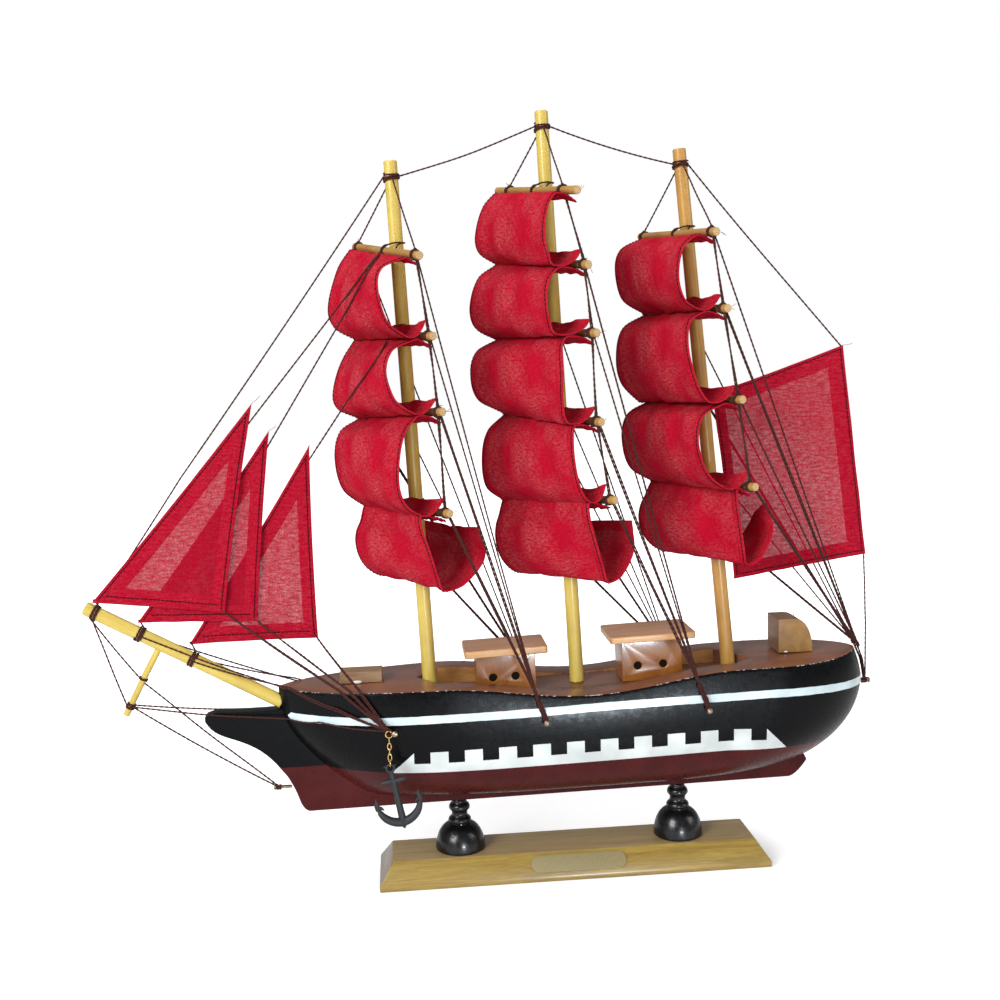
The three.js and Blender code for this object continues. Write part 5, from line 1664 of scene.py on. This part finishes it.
def build_head_rigging():
    builder = Builder()
    top, second = YARDS["fore"][:2]
    masthead = HEADS["fore"] + vec(-MASTHEAD_RADIUS - 0.3, 0, 0)
    seat = on_sprit(-194, BOWSPRIT_RADIUS + 0.3)
    # The stay comes down on the port side of the first jib's luff.
    cord(builder, [masthead, lerp(masthead, seat, 0.7) + vec(0, -2.6, 0), seat + vec(0.3, -1.8, -0.4)], 0.8)
    leads = ((top, "fore_sail_1", -0.8), (top, "fore_sail_1", 0.8), (second, "fore_sail_2", 0.3))
    for jib, x, (yard, sail, aside) in zip(JIBS, SPRIT_SEATS, leads):
        head, tack = jib["head"], jib["tack"]
        start = yard.centre + yard.forward * (YARD_RADIUS + 0.5) + vec(0, aside, -0.4)
        # The halyard ends in a stitch behind the sail, a little below its head.
        knot = vec(head[0] - 2.5, jib["y"] + 0.5, head[1] - 9)
        cord(builder, draped(start, knot, CLOTHS[sail], yard), 0, wander=0)
        foot = vec(tack[0] + 0.8, jib["y"] * 0.6, tack[1] + 0.8)
        cord(builder, [foot, on_sprit(x, BOWSPRIT_RADIUS + 0.4)], 0)
        tied(builder, foot, 0.5)
    belay = side_pin("fore", -1, 3.0)
    for i, jib in enumerate(JIBS):
        clew = vec(jib["clew"][0] - 1.2, jib["y"] - 0.4, jib["clew"][1] + 1.0)
        for shift in (-0.4, 0.4):
            x = -95.5 + 4.2 * i + shift
            cord(builder, [clew, vec(x, beside(x, 84.5, -1, 0.8), 86.4), belay + vec(shift, 0, 0.7)], 0.5)
        tied(builder, clew + vec(0, -0.2, 0), 0.6)
    # From the bowsprit's end to the martingale boom, and from the boom back to the stem pin.
    under = -BOWSPRIT_RADIUS - 0.3
    cord(builder, [on_sprit(-193, under), BOOM_END + vec(-1.5, 0, 0)], 0.4)
    cord(builder, [on_sprit(-193.6, under), BOOM_WAIST + vec(-1.3, 0, 0.3)], 0.4)
    cord(builder, [BOOM_END, vec(-124.0, 0.5, 41.8)], 0.8)
    cord(builder, [BOOM_WAIST + vec(-0.9, -0.5, -0.4), vec(-123.4, -0.5, 42.3)], 0.5)
    for side in (-1, 1):
        pin = side_pin("fore", side, 3.0)
        cord(builder, [BOOM_END + vec(0, side * 1.5, 0), vec(-117, beside(-117, 74, side, 1.0), 72.6),
                       vec(-104, beside(-104, 73, side, 0.8), 72.9), pin + vec(0, 0, 0.6)], 0.8)
        for x, shift in zip(SPRIT_SEATS[1:], (0.0, 0.9)):
            start = on_sprit(x, 0, side * (BOWSPRIT_RADIUS + 0.4))
            rail = vec(-115.5, beside(-115.5, 84, side, 0.7), 84.9 + shift)
            lower = vec(-96, beside(-96, 78, side, 0.9), 77.9 + shift)
            cord(builder, [start, rail, lower, pin + vec(0.3, 0, 0.9 + 0.3 * shift)], 0.7)
        coil(builder, side_pin("fore", side, 3.6), ATHWART, PIN_SHANK, 4)
        tied(builder, pin + vec(0, side * 0.3, 0.9), 0.9)
    coil(builder, vec(-123.2, 0, STEM_PIN[1]), FORE_AND_AFT, PIN_SHANK, 3)
    builder.make("head_rigging", TWINE, "ship", "thread")


SEWING_RADIUS = 0.09


def whisker(builder, start, aim, length, curl, radius=0.13):
    """A loose end of twine, or of sewing thread."""
    t = np.linspace(0, 1, 12)[:, None]
    aim = unit(np.asarray(aim, float))
    side = unit(np.cross(aim, vec(0.2, 1, 0.3)))
    builder.tube(np.asarray(start, float) + aim * length * t + side * curl * t**2, radius, 5)


def build_loose_ends():
    red, brown = Builder(), Builder()
    for name in MASTS:
        for yard in YARDS[name]:
            for side in (-1, 1):
                corner = yard.at(side * (yard.half - SAIL_INSET)) - yard.forward * 3.6
                for _ in range(2):
                    whisker(red, corner, rng.normal(size=3) + vec(0.6, side * 0.8, 0), rng.uniform(1.5, 3.2),
                            rng.uniform(-1.2, 1.2), SEWING_RADIUS)
                whisker(brown, yard.tip(side), rng.normal(size=3) + vec(0, side, 0.8), rng.uniform(1.2, 2.6),
                        rng.uniform(-0.8, 0.8))
    for jib in JIBS:
        for key in ("head", "tack", "clew"):
            corner = vec(jib[key][0], jib["y"], jib[key][1])
            whisker(red, corner, rng.normal(size=3) + vec(0, -0.4, -0.6), rng.uniform(3, 6), rng.uniform(-2, 2),
                    SEWING_RADIUS)
        whisker(brown, vec(jib["clew"][0] - 1, jib["y"] - 0.6, jib["clew"][1] + 1), vec(-1, -0.2, 1), 3.6, 0.5)
    whisker(brown, vec(97.5, -2.0, 103.0), vec(-0.2, -0.3, 1), 3.4, 0.4)
    for key in ("peak", "clew", "tack"):
        corner = vec(SPANKER[key][0], -0.3, SPANKER[key][1])
        whisker(red, corner, rng.normal(size=3) + vec(0.5, -0.3, -0.3), 4.0, 1.0, SEWING_RADIUS)
    red.make("loose_sail_threads", RED_THREAD, "ship", "sailcloth")
    brown.make("loose_twine_ends", TWINE, "ship", "thread")


# ---------------------------------------------------------------- floor, light and camera


def area_light(name, place, target, size, power, color=(1, 1, 1)):
    data = bpy.data.lights.new(name, "AREA")
    data.shape = "RECTANGLE"
    data.size, data.size_y = size
    data.energy = power
    data.color = color
    light = linked(name, data)
    light.location = Vector(place)
    light.rotation_euler = (Vector(target) - Vector(place)).to_track_quat("-Z", "Y").to_euler()
    return light


def build_stage():
    """A white floor that is a little luminous to the camera, and soft lamps in front of a dim room."""
    half, level = 3.0, -0.0002
    mesh = bpy.data.meshes.new("floor")
    corners = [(x, y, level) for x, y in ((-half, -half), (half, -half), (half, half), (-half, half))]
    mesh.from_pydata(corners, [], [(0, 1, 2, 3)])
    paper = Shader("studio_paper")
    seen = paper.node("ShaderNodeLightPath").outputs["Is Camera Ray"]
    away = paper.node("ShaderNodeVectorMath", {"Vector": paper.coords("Object")}, operation="LENGTH")
    glow = paper.remap(away.outputs["Value"], 180, 700, 0.35, 1.0)
    paper.done(Base_Color=(0.9, 0.9, 0.9), Roughness=0.9, Specular_IOR_Level=0.1,
               Emission_Color=(1, 1, 1), Emission_Strength=paper.sums("MULTIPLY", seen, glow))
    mesh.materials.append(paper.material)
    floor = linked("floor", mesh)
    key = area_light("key", (-1.0, -1.1, 0.8), (0, 0, 0.14), (0.7, 0.7), 25)
    front = area_light("front", (0.25, -1.5, 0.5), (0, 0, 0.14), (0.7, 0.5), 6.5)
    low_front = area_light("low_front", (0.12, -0.75, 0.03), (0.02, 0, 0.07), (0.14, 0.04), 2.4, (0.82, 0.92, 1))
    right = area_light("right", (1.3, -0.5, 0.8), (0, 0, 0.15), (0.7, 0.7), 6)
    overhead = area_light("overhead", (-0.1, 0.1, 1.5), (0, 0, 0.1), (1.2, 1.2), 12)
    # The low lamp only gives the hull's side its sheen, and the front lamp adds none.
    front.visible_glossy = False
    low_front.visible_diffuse = False
    world = bpy.data.worlds.new("studio")
    world.use_nodes = True
    tree = world.node_tree
    background = tree.nodes["Background"]
    background.inputs["Color"].default_value = (1, 1, 1, 1)
    path = tree.nodes.new("ShaderNodeLightPath")
    room = tree.nodes.new("ShaderNodeMapRange")
    room.inputs["To Min"].default_value = 0.22
    room.inputs["To Max"].default_value = 1.0
    tree.links.new(path.outputs["Is Camera Ray"], room.inputs["Value"])
    tree.links.new(room.outputs["Result"], background.inputs["Strength"])
    bpy.context.scene.world = world
    bpy.context.scene.view_settings.view_transform = "Standard"


def build_camera():
    """The camera stands off the port bow, slightly above the deck."""
    place = Vector((-67.9, -486.2, 212.7)) * MM
    yaw, pitch, roll = math.radians(4.84), math.radians(6.33), math.radians(-1.73)
    ahead = Vector((math.sin(yaw) * math.cos(pitch), math.cos(yaw) * math.cos(pitch), -math.sin(pitch)))
    level = Vector((math.cos(yaw), -math.sin(yaw), 0))
    upward = level.cross(ahead)
    right = level * math.cos(roll) + upward * math.sin(roll)
    top = upward * math.cos(roll) - level * math.sin(roll)
    data = bpy.data.cameras.new("camera")
    data.sensor_width = 36
    data.lens = 42.66
    data.clip_start = 0.02
    camera = linked("camera", data)
    camera.matrix_world = Matrix([(right[i], top[i], -ahead[i], place[i]) for i in range(3)] + [(0, 0, 0, 1)])
    bpy.context.scene.camera = camera


build_stand()
build_hull()
build_stripe()
build_battlements()
build_wear()
build_deck_furniture()
build_spars()
build_square_sails()
build_flat_sails()
build_pins()
build_chain()
build_lashings()
build_shrouds()
build_head_rigging()
build_loose_ends()
build_stage()
build_camera()
